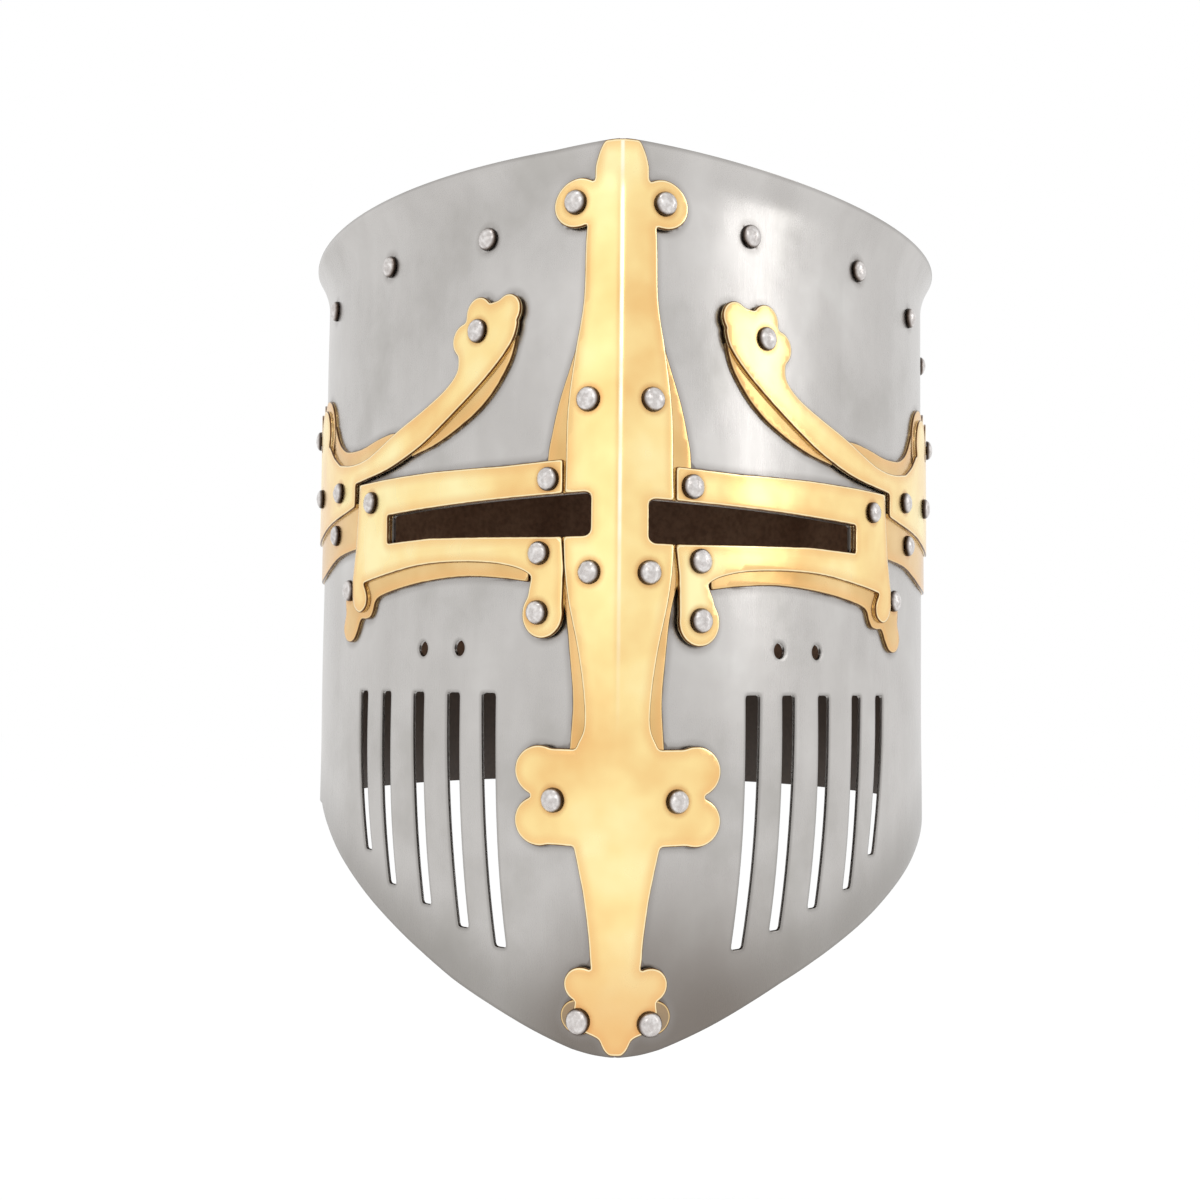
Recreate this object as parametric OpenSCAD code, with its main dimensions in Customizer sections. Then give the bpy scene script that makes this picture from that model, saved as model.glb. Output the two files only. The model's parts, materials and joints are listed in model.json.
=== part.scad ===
// Pot helm of sheet steel with riveted brass mounts
// The face looks along -Y, Z is up, and the tip of the face stands at z = 0

/* [Plan] */
// Half of the width over the ears
half_width = 115; // [110:1:120]
// Keel to the widest section
front_depth = 156; // [150:1:162]
// Widest section to the back of the skull
back_depth = 126; // [120:1:134]
// Angle by which each cheek falls back from the keel
keel_angle = 23; // [20:1:26]
// Reach of the flat of the cheek beside the keel
cheek_reach = 46; // [42:1:50]
// Reach of the straight stretch ahead of the ear
temple_reach = 70; // [64:1:76]

/* [Walls] */
// Tip of the face to the rim
rim_height = 260; // [256:1:270]
// Tip of the face to the level rear edge
rear_edge = 60; // [50:1:66]
// Rise of the lower edge from the tip
lower_edge_angle = 25; // [22:1:27]
// Height of the flared rim
flare_height = 15; // [12:1:16]
// Reach of the flared rim
flare_reach = 4.5; // [3:0.5:6]
// Thickness of the steel sheet
steel = 1.2; // [1:0.1:1.6]
// Clearance between riveted sheets
sheet_gap = 0.1; // [0.1:0.05:0.2]
// Keel to the front edge of the back plate, along the wall
lap_start = 196; // [192:1:200]
// Width of the lap of the front plate over the back plate
lap_width = 18; // [16:1:20]

/* [Crown] */
// Tip of the face to the top of the crown
crown_height = 288; // [280:1:300]
// Rim to the bend of the top plate's flange
crown_drop = 12; // [10:1:14]
// Depth of the top plate's flange
flange_depth = 26; // [24:1:28]
// Fullness of the dome, where more is flatter on top
dome_power = 2.4; // [2:0.1:3]

/* [Openings] */
// Height of the middle of the sight slits
sight_height = 153; // [150:1:156]
// Height of a sight slit at its outer end
sight_outer = 9; // [7:0.5:11]
// Height of a sight slit at its inner end
sight_inner = 12.5; // [10:0.5:14]
// Keel to the inner end of a sight slit
sight_start = 9.4; // [8:0.2:11]
// Keel to the outer end of a sight slit
sight_end = 96; // [90:1:98]
// Height of the top of the breath slits
breath_top = 101.5; // [98:0.5:104]
// Width of a breath slit at its top
breath_width = 6; // [5:0.5:7]
// Width of a breath slit at its foot
breath_foot = 4.6; // [3.5:0.1:5.5]
// Lean of a breath slit's foot toward the keel
breath_lean = 6.5; // [4:0.5:8]
// Diameter of the lace holes
lace_hole = 5; // [4:0.5:6]
// Height of the lace holes
lace_height = 115; // [112:1:116]

/* [Brass] */
// Thickness of each brass sheet
brass = 0.9; // [0.7:0.1:1.2]
// Amount by which a lower sheet stays inside the upper one
brass_inset = 0.8; // [0.6:0.1:1.2]
// Clearance between brass pieces side by side
piece_gap = 0.5; // [0.3:0.1:0.7]
// Amount by which the right-hand mounts sit lower
right_drop = 2; // [0:0.5:3]

/* [Rivets] */
// Diameter of a rivet's round head
head_width = 6.6; // [6:0.2:7]
// Height of a rivet's round head
head_height = 2.3; // [1.8:0.1:2.6]
// Diameter of a rivet's shank
shank = 3.2; // [2.6:0.1:3.6]
// Clearance round a shank, on the radius
shank_gap = 0.1; // [0.05:0.05:0.2]
// Diameter of the hammered tail
tail_width = 5; // [4.4:0.2:5.4]
// Height of the hammered tail
tail_height = 1.1; // [0.8:0.1:1.4]

/* [Liner] */
// Thickness of the leather
leather = 2.2; // [1.6:0.1:2.8]
// Height of the leather band
band_height = 32; // [30:1:33]
// Thickness of a rivet washer
washer = 0.8; // [0.6:0.1:1.2]
// Diameter of a rivet washer
washer_width = 9; // [8:0.5:10]
// Number of tongues
tongues = 8; // [6:1:10]
// Half of a tongue's width at the band
tongue_half = 31; // [28:1:32]
// Top of the crown to the tips of the tongues
tongue_drop = 17; // [14:1:20]
// Diameter of the crown lace
lace = 3; // [2:0.5:4]

/* [Hidden] */
$fn = 48;

steel_colour = "silver";
brass_colour = "goldenrod";
rivet_colour = "gainsboro";
leather_colour = "saddlebrown";

// Length of one flat of the wall
flat = 6;
// Depth through which a cut is made
through = 200;
flare_start = rim_height - flare_height;
crown_edge = rim_height - crown_drop;
lap_end = lap_start + lap_width;
// Depth of one steel sheet with its gap
sheet = steel + sheet_gap;
// Depths of the two brass layers, outward from the steel
under_low = sheet_gap;
under_high = under_low + brass;
upper_low = under_high + sheet_gap;
upper_high = upper_low + brass;

// The plan of one half: a Bezier curve from the keel to the ear, then a quarter of an ellipse
front_reach = front_depth + (flare_reach + upper_high) / cos(keel_angle);
back_reach = back_depth - sheet + flare_reach;
centre_y = (front_reach - back_reach) / 2;
bezier_steps = 100;
ellipse_steps = 80;
p0 = [0, -front_depth];
p1 = [cheek_reach, cheek_reach * tan(keel_angle) - front_depth];
p2 = [half_width, -temple_reach];
p3 = [half_width, 0];
function bezier(t) =
    pow(1 - t, 3) * p0 + 3 * t * pow(1 - t, 2) * p1 + 3 * t * t * (1 - t) * p2 + pow(t, 3) * p3;
curve = concat(
    [for (i = [0 : bezier_steps]) bezier(i / bezier_steps)],
    [for (i = [1 : ellipse_steps]) let (a = 90 * i / ellipse_steps)
        [half_width * cos(a), back_depth * sin(a)]]);
lengths = [for (i = 0, l = 0; i < len(curve);
    l = l + (i + 1 < len(curve) ? norm(curve[i + 1] - curve[i]) : 0), i = i + 1) l];
half_girth = lengths[len(lengths) - 1];
x_table = [for (i = [0 : len(curve) - 1]) [lengths[i], curve[i].x]];
y_table = [for (i = [0 : len(curve) - 1]) [lengths[i], curve[i].y]];

// A place on the wall is told by s, its distance from the keel along the wall, positive on the right
function folded(s) = abs(s) > half_girth ? sign(s) * (abs(s) - 2 * half_girth) : s;
function at(s) = let (f = folded(s))
    [sign(f) * lookup(abs(f), x_table), lookup(abs(f), y_table) + centre_y];
function normal(s) = let (t = at(s + 0.5) - at(s - 0.5)) [t.y, -t.x] / norm(t);
function mitre(s) = abs(s) < 0.5 ? 1 / cos(keel_angle) : 1;
function offset_at(s, d) = at(s) + normal(s) * d * mitre(s);
function facing_angle(s) = let (n = normal(s)) atan2(n.x, -n.y);
function stations(s1, s2) = concat([s1],
    [for (i = [floor(s1 / flat) + 1 : ceil(s2 / flat) - 1]) i * flat], [s2]);
back_stations = concat(stations(lap_start, half_girth),
    [for (s = stations(-half_girth, -lap_start)) if (s > -half_girth) s]);
ring_stations = [for (s = stations(-half_girth, half_girth)) if (s > -half_girth) s];

// Depth of the inner face of the wall: one sheet in front, two from just ahead of the lap
ramp_start = lap_start - 16;
ramp_end = lap_start - 6;
function wall_depth(s) = sheet
    * (1 + min(1, max(0, (abs(folded(s)) - ramp_start) / (ramp_end - ramp_start))));

// Rivets of the rim as [s, distance below the rim], set by hand
function below_rim_at(places) = [for (p = places) [p[0], rim_height - p[1]]];
rim_left = below_rim_at([[-49, 20], [-100, 18], [-153, 21], [-205, 22]]);
rim_right = below_rim_at([[46, 19.5], [101, 18.5], [147, 24], [190, 32]]);
rim_back = below_rim_at([[250, 22], [300, 22], [350, 22], [half_girth, 22], [-350, 22], [-300, 22], [-250, 22]]);
rim_all = concat(rim_left, rim_right, rim_back);
// The other rivets as [s, z]
head_rivet = [14.2, rim_height - 15.8];
keel_low = [[9.4, 186], [8.6, 136.2], [19.8, 71.2], [10.8, 9.9]];
frame_high = [[22.8, 163.8], [107, 163.7], [25.7, 142.3], [26, 125]];
frame_low = [[125.3, 135.5]];
side_high = [[51, 211.5], [135, 170], [165, 171.5], [180, 195.5]];
side_lap = [[lap_start + 7, 171.5]];
side_low = [[141, 155.7]];
seam = [for (z = [74, 101, 128, 213]) [lap_start + lap_width / 2, z]];

// A smooth curve through the points given
curve_steps = 4;
function blend(a, b, c, d, t) = 0.5 * (2 * b + (c - a) * t + (2 * a - 5 * b + 4 * c - d) * t * t
    + (3 * b - a - 3 * c + d) * t * t * t);
function smooth(p) = concat([for (i = [0 : len(p) - 2], j = [0 : curve_steps - 1])
    blend(p[max(0, i - 1)], p[i], p[i + 1], p[min(len(p) - 1, i + 2)], j / curve_steps)],
    [p[len(p) - 1]]);
function reversed(p) = [for (i = [len(p) - 1 : -1 : 0]) p[i]];
function shifted(p, d) = [for (q = p) [q[0] + d, q[1]]];

// Flat drawings of the wall, seen square to it at one angle
function seen(s, angle) = let (p = at(s)) p.x * cos(angle) + p.y * sin(angle);
function drawn(points, angle) = [for (p = points) [seen(p[0], angle), p[1]]];
module facing(angle) {
    rotate([90, 0, angle]) linear_extrude(height = through) children();
}
// Rounds the corners of a flat drawing
corner = 0.4;
module trimmed() {
    offset(r = corner, $fn = 16) offset(delta = -corner) children();
}
module disc(s, z, radius, angle) {
    translate([seen(s, angle), z]) circle(r = radius, $fn = 30);
}

// A closed slab between an outer and an inner grid of points, given row by row
module slab(outer, inner) {
    rows = len(outer);
    cols = len(outer[0]);
    points = concat([for (row = outer) each row], [for (row = inner) each row]);
    half = rows * cols;
    faces = concat(
        [for (r = [0 : rows - 2], c = [0 : cols - 2]) let (i = r * cols + c)
            each [[i, i + cols, i + 1], [i + 1, i + cols, i + cols + 1]]],
        [for (r = [0 : rows - 2], c = [0 : cols - 2]) let (i = half + r * cols + c)
            each [[i, i + 1, i + cols], [i + 1, i + cols + 1, i + cols]]],
        [for (c = [0 : cols - 2]) each [[c, c + 1, half + c], [c + 1, half + c + 1, half + c]]],
        [for (c = [0 : cols - 2]) let (i = (rows - 1) * cols + c)
            each [[i, half + i, i + 1], [i + 1, half + i, half + i + 1]]],
        [for (r = [0 : rows - 2]) let (i = r * cols)
            each [[i, half + i, i + cols], [i + cols, half + i, half + i + cols]]],
        [for (r = [0 : rows - 2]) let (i = r * cols + cols - 1)
            each [[i, i + cols, half + i], [i + cols, half + i + cols, half + i]]]);
    polyhedron(points = points, faces = faces, convexity = 10);
}

// A sheet on the wall between two depths, upright below the flare and spread above it
flare_rows = 4;
function flare_at(z) = flare_reach * pow(max(0, z - flare_start) / flare_height, 2);
module sheet_on_wall(where, low, high, from_z, to_z) {
    top = min(to_z, flare_start);
    translate([0, 0, from_z]) linear_extrude(height = top - from_z)
        polygon(concat([for (s = where) offset_at(s, high)], [for (s = reversed(where)) offset_at(s, low)]));
    if (to_z > flare_start) {
        zs = [for (j = [0 : flare_rows]) flare_start + (to_z - flare_start) * j / flare_rows];
        slab([for (z = zs) [for (s = where) let (p = offset_at(s, high + flare_at(z))) [p.x, p.y, z]]],
            [for (z = zs) [for (s = where) let (p = offset_at(s, low + flare_at(z))) [p.x, p.y, z]]]);
    }
}

// Puts the children on the wall with their Z axis pointing outward
module placed(s, z) {
    p = at(s);
    n = normal(s);
    translate([p.x, p.y, z]) rotate([0, 0, atan2(n.y, n.x)]) rotate([0, 90, 0]) children();
}
module drill(places) {
    for (r = places) placed(r[0], r[1])
        cylinder(h = 30, r = shank / 2 + shank_gap, center = true);
}
module cap(width, height) {
    bend = (width * width / 4 + height * height) / (2 * height);
    intersection() {
        translate([0, height - bend]) circle(r = bend);
        square([width / 2, height]);
    }
}
module rivet(s, z, high, low) {
    placed(s, z) rotate_extrude() {
        translate([0, high + sheet_gap]) cap(head_width, head_height);
        translate([0, low - sheet_gap]) square([shank / 2, high - low + 2 * sheet_gap]);
        translate([0, low - sheet_gap]) mirror([0, 1]) cap(tail_width, tail_height);
    }
}
// Rivets at the same places on each side, the right-hand ones lower by drop
function on_side(places, side, drop) = [for (r = places) [side * r[0], side > 0 ? r[1] - drop : r[1]]];
function both(places, drop) = concat(on_side(places, -1, drop), on_side(places, 1, drop));
module right_side() {
    translate([0, 0, -right_drop]) children();
}
module left_side() {
    mirror([1, 0, 0]) children();
}

// Sight slits, breath slits and lace holes
sight_angle = 36;
sight_top = sight_height + sight_inner / 2;
sight_points = [
    [sight_start, sight_top - 0.8], [sight_start + 1.5, sight_top], [56, sight_top - 0.3],
    [sight_end, sight_top - 0.8], [sight_end, sight_top - 0.8 - sight_outer],
    [72, sight_top - 0.8 - sight_outer], [43, sight_top - sight_inner + 1.3],
    [sight_start + 12, sight_top - sight_inner + 0.2],
    [sight_start + 1.5, sight_top - sight_inner], [sight_start, sight_top - sight_inner + 1]];
module sight_slit() {
    facing(sight_angle) polygon(drawn(sight_points, sight_angle));
}
// Each breath slit as its distance from the keel at the top and the height of its foot
breath_slits = [[46, 27], [61.5, 31], [79, 36], [98, 40], [114, 49.5]];
breath_rows = 6;
module breath_slit(s, foot) {
    angle = facing_angle(s);
    rows = [for (i = [0 : breath_rows]) let (t = i / breath_rows)
        [s - breath_lean * pow(t, 2.5), breath_top + (foot - breath_top) * t,
            (breath_width + (breath_foot - breath_width) * t) / 2]];
    facing(angle) polygon(drawn(concat([for (r = rows) [r[0] + r[2], r[1]]],
        reversed([for (r = rows) [r[0] - r[2], r[1]]])), angle));
}
lace_places = [59, 77];
module breaths() {
    for (b = breath_slits) breath_slit(b[0], b[1]);
    for (s = lace_places) placed(s, lace_height) cylinder(h = 20, r = lace_hole / 2, center = true);
}

// The side view that trims the lower edge
module below_rim() {
    tip = centre_y - front_depth;
    rise = tan(lower_edge_angle);
    start = 30;
    translate([-through, 0, 0]) rotate([90, 0, 90]) linear_extrude(height = 2 * through)
        polygon([[tip - start, -start * rise], [tip + rear_edge / rise, rear_edge],
            [tip + 2 * through, rear_edge], [tip + 2 * through, 2 * through], [tip - start, 2 * through]]);
}

// The room for the plate on one side of the keel
module beside_keel(side) {
    scale([side, 1, 1]) translate([sheet_gap / 2, -through, -through]) cube([through, 2 * through, 3 * through]);
}
// The two front plates meet edge to edge at the keel, where the bar's pairs of rivets hold them
module front_plate(side, where, rim_places) {
    color(steel_colour) difference() {
        intersection() {
            sheet_on_wall(where, -steel, 0, -5, rim_height);
            below_rim();
            beside_keel(side);
        }
        children();
        drill(rim_places);
        drill(on_side(concat([head_rivet], keel_low, seam), side, 0));
        drill(on_side(concat(frame_high, frame_low, side_high, side_lap, side_low), side, right_drop));
    }
}
module front_plate_left() {
    front_plate(-1, stations(-lap_end, 0), rim_left) left_side() {
        sight_slit();
        breaths();
    }
}
module front_plate_right() {
    front_plate(1, stations(0, lap_end), rim_right) {
        right_side() sight_slit();
        breaths();
    }
}

module back_plate() {
    color(steel_colour) difference() {
        sheet_on_wall(back_stations, -steel - sheet, -sheet, rear_edge, rim_height);
        drill(concat([rim_left[3]], rim_back));
        drill(both(seam, 0));
        drill(both(side_lap, right_drop));
    }
}

// The crown: a flange behind the rim rivets and a dome over the skull
dome_rows = 7;
dome_centre = [0, centre_y + (back_depth - front_depth) / 2];
function dome_z(u, top) = crown_edge + (top - crown_edge) * (1 - pow(u, dome_power));
function inward(p, u) = dome_centre + (p - dome_centre) * u;
module top_plate() {
    n = len(ring_stations);
    us = [for (j = [0 : dome_rows - 1]) 1 - j / dome_rows];
    outer_ring = [for (s = ring_stations) offset_at(s, -wall_depth(s))];
    inner_ring = [for (s = ring_stations) offset_at(s, -wall_depth(s) - steel)];
    outer = concat([[for (p = outer_ring) [p.x, p.y, crown_edge - flange_depth]]],
        [for (u = us) [for (p = outer_ring) let (q = inward(p, u)) [q.x, q.y, dome_z(u, crown_height)]]]);
    inner = concat([[for (p = inner_ring) [p.x, p.y, crown_edge - flange_depth]]],
        [for (u = us) [for (p = inner_ring) let (q = inward(p, u))
            [q.x, q.y, dome_z(u, crown_height) - steel]]]);
    rows = len(outer);
    half = rows * n;
    apex = 2 * half;
    points = concat([for (row = outer) each row], [for (row = inner) each row],
        [[dome_centre.x, dome_centre.y, crown_height], [dome_centre.x, dome_centre.y, crown_height - steel]]);
    faces = concat(
        [for (r = [0 : rows - 2], c = [0 : n - 1]) let (i = r * n + c, k = r * n + (c + 1) % n)
            each [[i, i + n, k], [k, i + n, k + n]]],
        [for (r = [0 : rows - 2], c = [0 : n - 1]) let (i = half + r * n + c, k = half + r * n + (c + 1) % n)
            each [[i, k, i + n], [k, k + n, i + n]]],
        [for (c = [0 : n - 1]) let (k = (c + 1) % n) each [[c, k, half + c], [k, half + k, half + c]]],
        [for (c = [0 : n - 1]) let (i = half - n + c, k = half - n + (c + 1) % n) [i, apex, k]],
        [for (c = [0 : n - 1]) let (i = apex - n + c, k = apex - n + (c + 1) % n) [i, k, apex + 1]]);
    color(steel_colour) difference() {
        polyhedron(points = points, faces = faces, convexity = 10);
        drill(rim_all);
        drill(both([head_rivet], 0));
    }
}

// The brass on the keel, drawn from straight ahead
bar_side = [[5.8, rim_height + 2], [7.6, rim_height - 4], [7.6, rim_height - 11], [11.3, rim_height - 25],
    [12, 215], [14.6, 200], [17, 183], [17.4, 165], [17.8, 145], [16.4, 130], [12.8, 114], [10.8, 101],
    [10.6, 92], [13, 86.5], [15, 80]];
foot_side = [[14, 58.5], [10.8, 45], [9, 33], [8.2, 25], [6, 15], [5.4, 7.2]];
arm_end = [[26, 86], [31, 79], [31.2, 72], [31, 65], [26, 58.4]];
tip_side = [[9, 19], [13.2, 15], [13.6, 11], [12.4, 7.8], [9.6, 6.8], [7, 6], [4.4, 3.4], [2.3, 1.2], [0.6, 0.4]];
// The round lobes of the bar as [s, z, radius], and the ear of the lower sheet beside the tip
bar_lobes = [[14.5, rim_height - 16.2, 7.2], [26.2, 79.2, 6.8], [26.4, 65, 6.6], [11, 20, 5]];
ear = [12, 10.8, 5];
// Closes one side's outline a little way past the keel, so that the two sides join
keel_overlap = 2;
function from_keel(p, side) = concat([[-side * keel_overlap, p[0][1]]],
    [for (q = p) [side * seen(q[0], 0), q[1]]], [[-side * keel_overlap, p[len(p) - 1][1]]]);
module bar_drawing() {
    for (side = [-1, 1]) {
        right = smooth(bar_side);
        foot = smooth(foot_side);
        polygon(from_keel(right, side));
        polygon(from_keel(arm_end, side));
        polygon(from_keel(concat([[14, 62]], foot), side));
        polygon(from_keel(tip_side, side));
        for (c = bar_lobes) disc(side * c[0], c[1], c[2], 0);
    }
}
module keel_sheet(low, high) {
    sheet_on_wall(stations(-42, 42), low, high, 0, rim_height);
}
module keel_bar() {
    color(brass_colour) difference() {
        intersection() {
            keel_sheet(upper_low, upper_high);
            facing(0) trimmed() bar_drawing();
        }
        left_side() sight_slit();
        right_side() sight_slit();
        drill(both(concat([head_rivet], keel_low), 0));
    }
}
under_side = smooth([[11, 211], [16.3, 196], [19.8, 186.5], [22.3, 177], [23.7, 168], [23.7, 142],
    [19.5, 134], [16.8, 124], [15.4, 112], [14.3, 100], [14.8, 90], [15.4, 82]]);
module keel_backing() {
    color(brass_colour) difference() {
        intersection() {
            keel_sheet(under_low, under_high);
            facing(0) trimmed() {
                offset(delta = -brass_inset) bar_drawing();
                for (side = [-1, 1]) {
                    polygon(from_keel(under_side, side));
                    disc(side * ear[0], ear[1], ear[2], 0);
                }
            }
        }
        left_side() sight_slit();
        right_side() sight_slit();
        drill(both(concat([head_rivet], keel_low), 0));
    }
}

// The brass round the eyes, drawn for the right side
frame_angle = 38;
frame_start = 17.8 + piece_gap;
frame_outer = [[116.8, 170.8], [117.1, 162], [118.7, 148.5], [121, 138.5]];
frame_lower = [[112, 137.2], [98, 139], [78, 141], [60, 141.2], [43, 140], [33, 137.9], [28.4, 135.6]];
frame_leaf = [[121, 138.5], [121.2, 134], [119, 129.5], [114.6, 127.5], [110.2, 129.4], [109.4, 133], [112, 137.2]];
frame_tail = [25.6, 124.6, 7.2];
module frame_drawing() {
    polygon(drawn(concat([[frame_start, 169.3], [40, 169.1], [70, 170.2], [96, 170.6]], frame_outer,
        smooth(frame_leaf), smooth(frame_lower), [[30.6, 131], [frame_tail[0] + 6, 124.6],
        [frame_tail[0] - 7, 124.6], [19.2, 138], [frame_start, 146]]), frame_angle));
    disc(frame_tail[0], frame_tail[1], frame_tail[2], frame_angle);
}
module frame_sheet(low, high) {
    sheet_on_wall(stations(12, 138), low, high, 100, 190);
}
module eye_frame() {
    color(brass_colour) difference() {
        intersection() {
            frame_sheet(upper_low, upper_high);
            facing(frame_angle) trimmed() frame_drawing();
        }
        sight_slit();
        drill(concat(frame_high));
    }
}
// The strip of the lower sheet that shows under the frame, and its hanging leaf
strip_lower = [[30, 134], [41, 135.5], [57, 136.6], [76, 135.8], [92, 134], [103.5, 131.8], [106, 128.5]];
leaf_edge = [[106, 128.5], [108, 126], [111.5, 125.2], [115.5, 125.2], [118, 121.8], [121, 118.8], [124.6, 117.8],
    [128.6, 118.8], [131, 122], [130.2, 125.4], [129, 127.6], [129.6, 131], [128.8, 135], [125, 138.2], [121, 140]];
module frame_backing() {
    color(brass_colour) difference() {
        intersection() {
            frame_sheet(under_low, under_high);
            facing(frame_angle) trimmed() intersection() {
                union() {
                    offset(delta = -brass_inset) frame_drawing();
                    polygon(drawn(concat([[30, 142]], smooth(strip_lower), smooth(leaf_edge), [[116, 142]]),
                        frame_angle));
                }
                polygon(drawn(concat(shifted(under_side, piece_gap), [[150, 82], [150, 211]]), frame_angle));
            }
        }
        sight_slit();
        drill(concat(frame_high, frame_low));
    }
}

// The brass of the side, drawn for the right side in three views that follow the bend
horn_angle = 30;
arm_angle = 55;
hub_angle = 78;
horn_lobes = [[38.6, 216, 5], [50.8, 216.7, 5.3], [56.7, 209.5, 5.3]];
horn_head = [[35, 212.5], [38.6, 220], [46.4, 218.4], [52, 221], [58, 213], [60, 205], [46, 202], [40, 203]];
horn_inner = [[34.6, 212], [36.6, 206.5], [43.5, 199.5], [54.5, 191.5], [68, 183.5], [80, 178], [97.5, 173.4],
    [120.4, 171.4]];
horn_outer = [[59.5, 205], [60, 200], [66, 195], [77, 190.2], [90, 185.8], [104, 180.9], [113, 178.9],
    [124, 178.5], [136, 180]];
split = 72;
fleur_end = 208;
hub_lower = [[120.4, 163.6], [130, 162], [150, 159.5], [165, 156.8], [180, 155.6], [195, 156.8], [fleur_end, 159.5]];
petal_lobes = [[160.5, 194, 9.4], [180, 196.2, 9.2], [198.4, 194, 9.4]];
module horn_drawing() {
    for (c = horn_lobes) disc(c[0], c[1], c[2], horn_angle);
    polygon(drawn(horn_head, horn_angle));
    polygon(drawn(concat([for (p = smooth(horn_inner)) if (p[0] < split) p],
        reversed([for (p = smooth(horn_outer)) if (p[0] < split) p]), [[50, 212]]), horn_angle));
}
module arm_drawing() {
    polygon(drawn(concat([for (p = smooth(horn_inner)) if (p[0] > split - 12) p], [[130, 171.4]],
        reversed([for (p = smooth(horn_outer)) if (p[0] > split - 12) p])), arm_angle));
}
module hub_drawing() {
    polygon(drawn(concat(smooth(hub_lower), [[fleur_end, 186], [203, 190], [156, 190], [150.4, 188.4], [144, 183.8],
        [136, 180], [130, 178.7], [120.4, 178.4]]), hub_angle));
    for (c = petal_lobes) disc(c[0], c[1], c[2], hub_angle);
}
module side_sheet(low, high) {
    sheet_on_wall(stations(24, lap_end), low, high, 130, 230);
}
module side_fleur() {
    color(brass_colour) difference() {
        intersection() {
            side_sheet(upper_low, upper_high);
            union() {
                facing(horn_angle) trimmed() horn_drawing();
                facing(arm_angle) trimmed() arm_drawing();
                facing(hub_angle) trimmed() hub_drawing();
            }
        }
        drill(concat(side_high, side_lap));
    }
}
// What shows of the lower sheet: a crescent under the horn, a lip above the hub and a band below it
crescent = [[35.6, 208.5], [38, 201], [44.4, 192.6], [52, 186.6], [62, 181.8], [72, 178.4], [84, 176.3]];
lip = [[88, 184.6], [95, 185.6], [105, 184.9], [118, 183.4], [130, 184], [137, 186.4], [142, 190], [147, 196]];
band_lower = [[118.9, 149.2], [137, 147.7], [151, 144.6], [163, 142.2], [180, 141.4], [fleur_end, 142.2]];
petal_grow = 3.6;
module side_backing() {
    color(brass_colour) difference() {
        intersection() {
            side_sheet(under_low, under_high);
            union() {
                facing(horn_angle) trimmed() {
                    offset(delta = -brass_inset) horn_drawing();
                    polygon(drawn(concat(smooth(crescent), [[84, 181], [60, 193], [45, 204]]), horn_angle));
                }
                facing(arm_angle) trimmed() {
                    offset(delta = -brass_inset) arm_drawing();
                    polygon(drawn(concat(smooth(lip), [[147, 180], [120, 176], [90, 182]]), arm_angle));
                }
                facing(hub_angle) trimmed() {
                    offset(delta = -brass_inset) hub_drawing();
                    polygon(drawn(concat(smooth(band_lower), [[fleur_end, 165], [118, 165], [117.9, 156]]),
                        hub_angle));
                    intersection() {
                        for (c = petal_lobes) disc(c[0], c[1], c[2] + petal_grow, hub_angle);
                        polygon(drawn([[138, 180], [fleur_end, 180], [fleur_end, 215], [138, 215]], hub_angle));
                    }
                }
            }
        }
        drill(concat(side_high, side_lap, side_low));
    }
}

// Rivets: what each one passes through sets its length
liner_face = steel + sheet_gap + leather + sheet_gap + washer;
module rim_rivets() {
    color(rivet_colour) for (r = rim_all) {
        behind = abs(r[0]) > lap_end;
        rivet(r[0], r[1], behind ? -sheet : 0, -wall_depth(r[0]) - liner_face);
    }
}
module keel_rivets() {
    color(rivet_colour) {
        for (r = both(keel_low, 0)) rivet(r[0], r[1], upper_high, -steel);
        for (r = both([head_rivet], 0)) rivet(r[0], r[1], upper_high, -wall_depth(r[0]) - steel - sheet_gap - leather);
    }
}
module frame_rivets() {
    color(rivet_colour) {
        for (r = both(frame_high, right_drop)) rivet(r[0], r[1], upper_high, -steel);
        for (r = both(frame_low, right_drop)) rivet(r[0], r[1], under_high, -steel);
    }
}
module side_rivets() {
    color(rivet_colour) {
        for (r = both(side_high, right_drop)) rivet(r[0], r[1], upper_high, -steel);
        for (r = both(side_lap, right_drop)) rivet(r[0], r[1], upper_high, -steel - sheet);
        for (r = both(side_low, right_drop)) rivet(r[0], r[1], under_high, -steel);
    }
}
module seam_rivets() {
    color(rivet_colour) for (r = both(seam, 0)) rivet(r[0], r[1], 0, -steel - sheet);
}

// The leather: a band behind the flange, and tongues sewn to its lower half that lean in under the dome
tongue_rows = 5;
tongue_cols = 4;
tongue_tip = 0.12;
tongue_seam = 11;
band_top = crown_edge - steel - 1;
tongue_foot = band_top - band_height + 2;
tongue_bend = tongue_foot + tongue_seam;
tongue_top = crown_height - tongue_drop;
function tongue_z(u) = tongue_bend + (tongue_top - tongue_bend) * (1 - pow(u, 2.2));
function band_face(s, d) = offset_at(s, -wall_depth(s) - steel - sheet_gap - d);
module tongue(s) {
    across = [for (k = [0 : tongue_cols]) s + tongue_half * (2 * k / tongue_cols - 1)];
    near = [for (t = across) band_face(t, leather + sheet_gap)];
    far = [for (t = across) band_face(t, 2 * leather + sheet_gap)];
    leaning = [for (j = [0 : tongue_rows]) let (u = 1 + (tongue_tip - 1) * j / tongue_rows)
        [for (p = near) let (q = inward(p, u)) [q.x, q.y, tongue_z(u)]]];
    outer = concat([[for (p = near) [p.x, p.y, tongue_foot]]], leaning);
    inner = concat([for (z = [tongue_foot, tongue_bend - leather * 0.4]) [for (p = far) [p.x, p.y, z]]],
        [for (j = [1 : tongue_rows]) [for (p = leaning[j]) p - [0, 0, leather]]]);
    slab(outer, inner);
}
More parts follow.
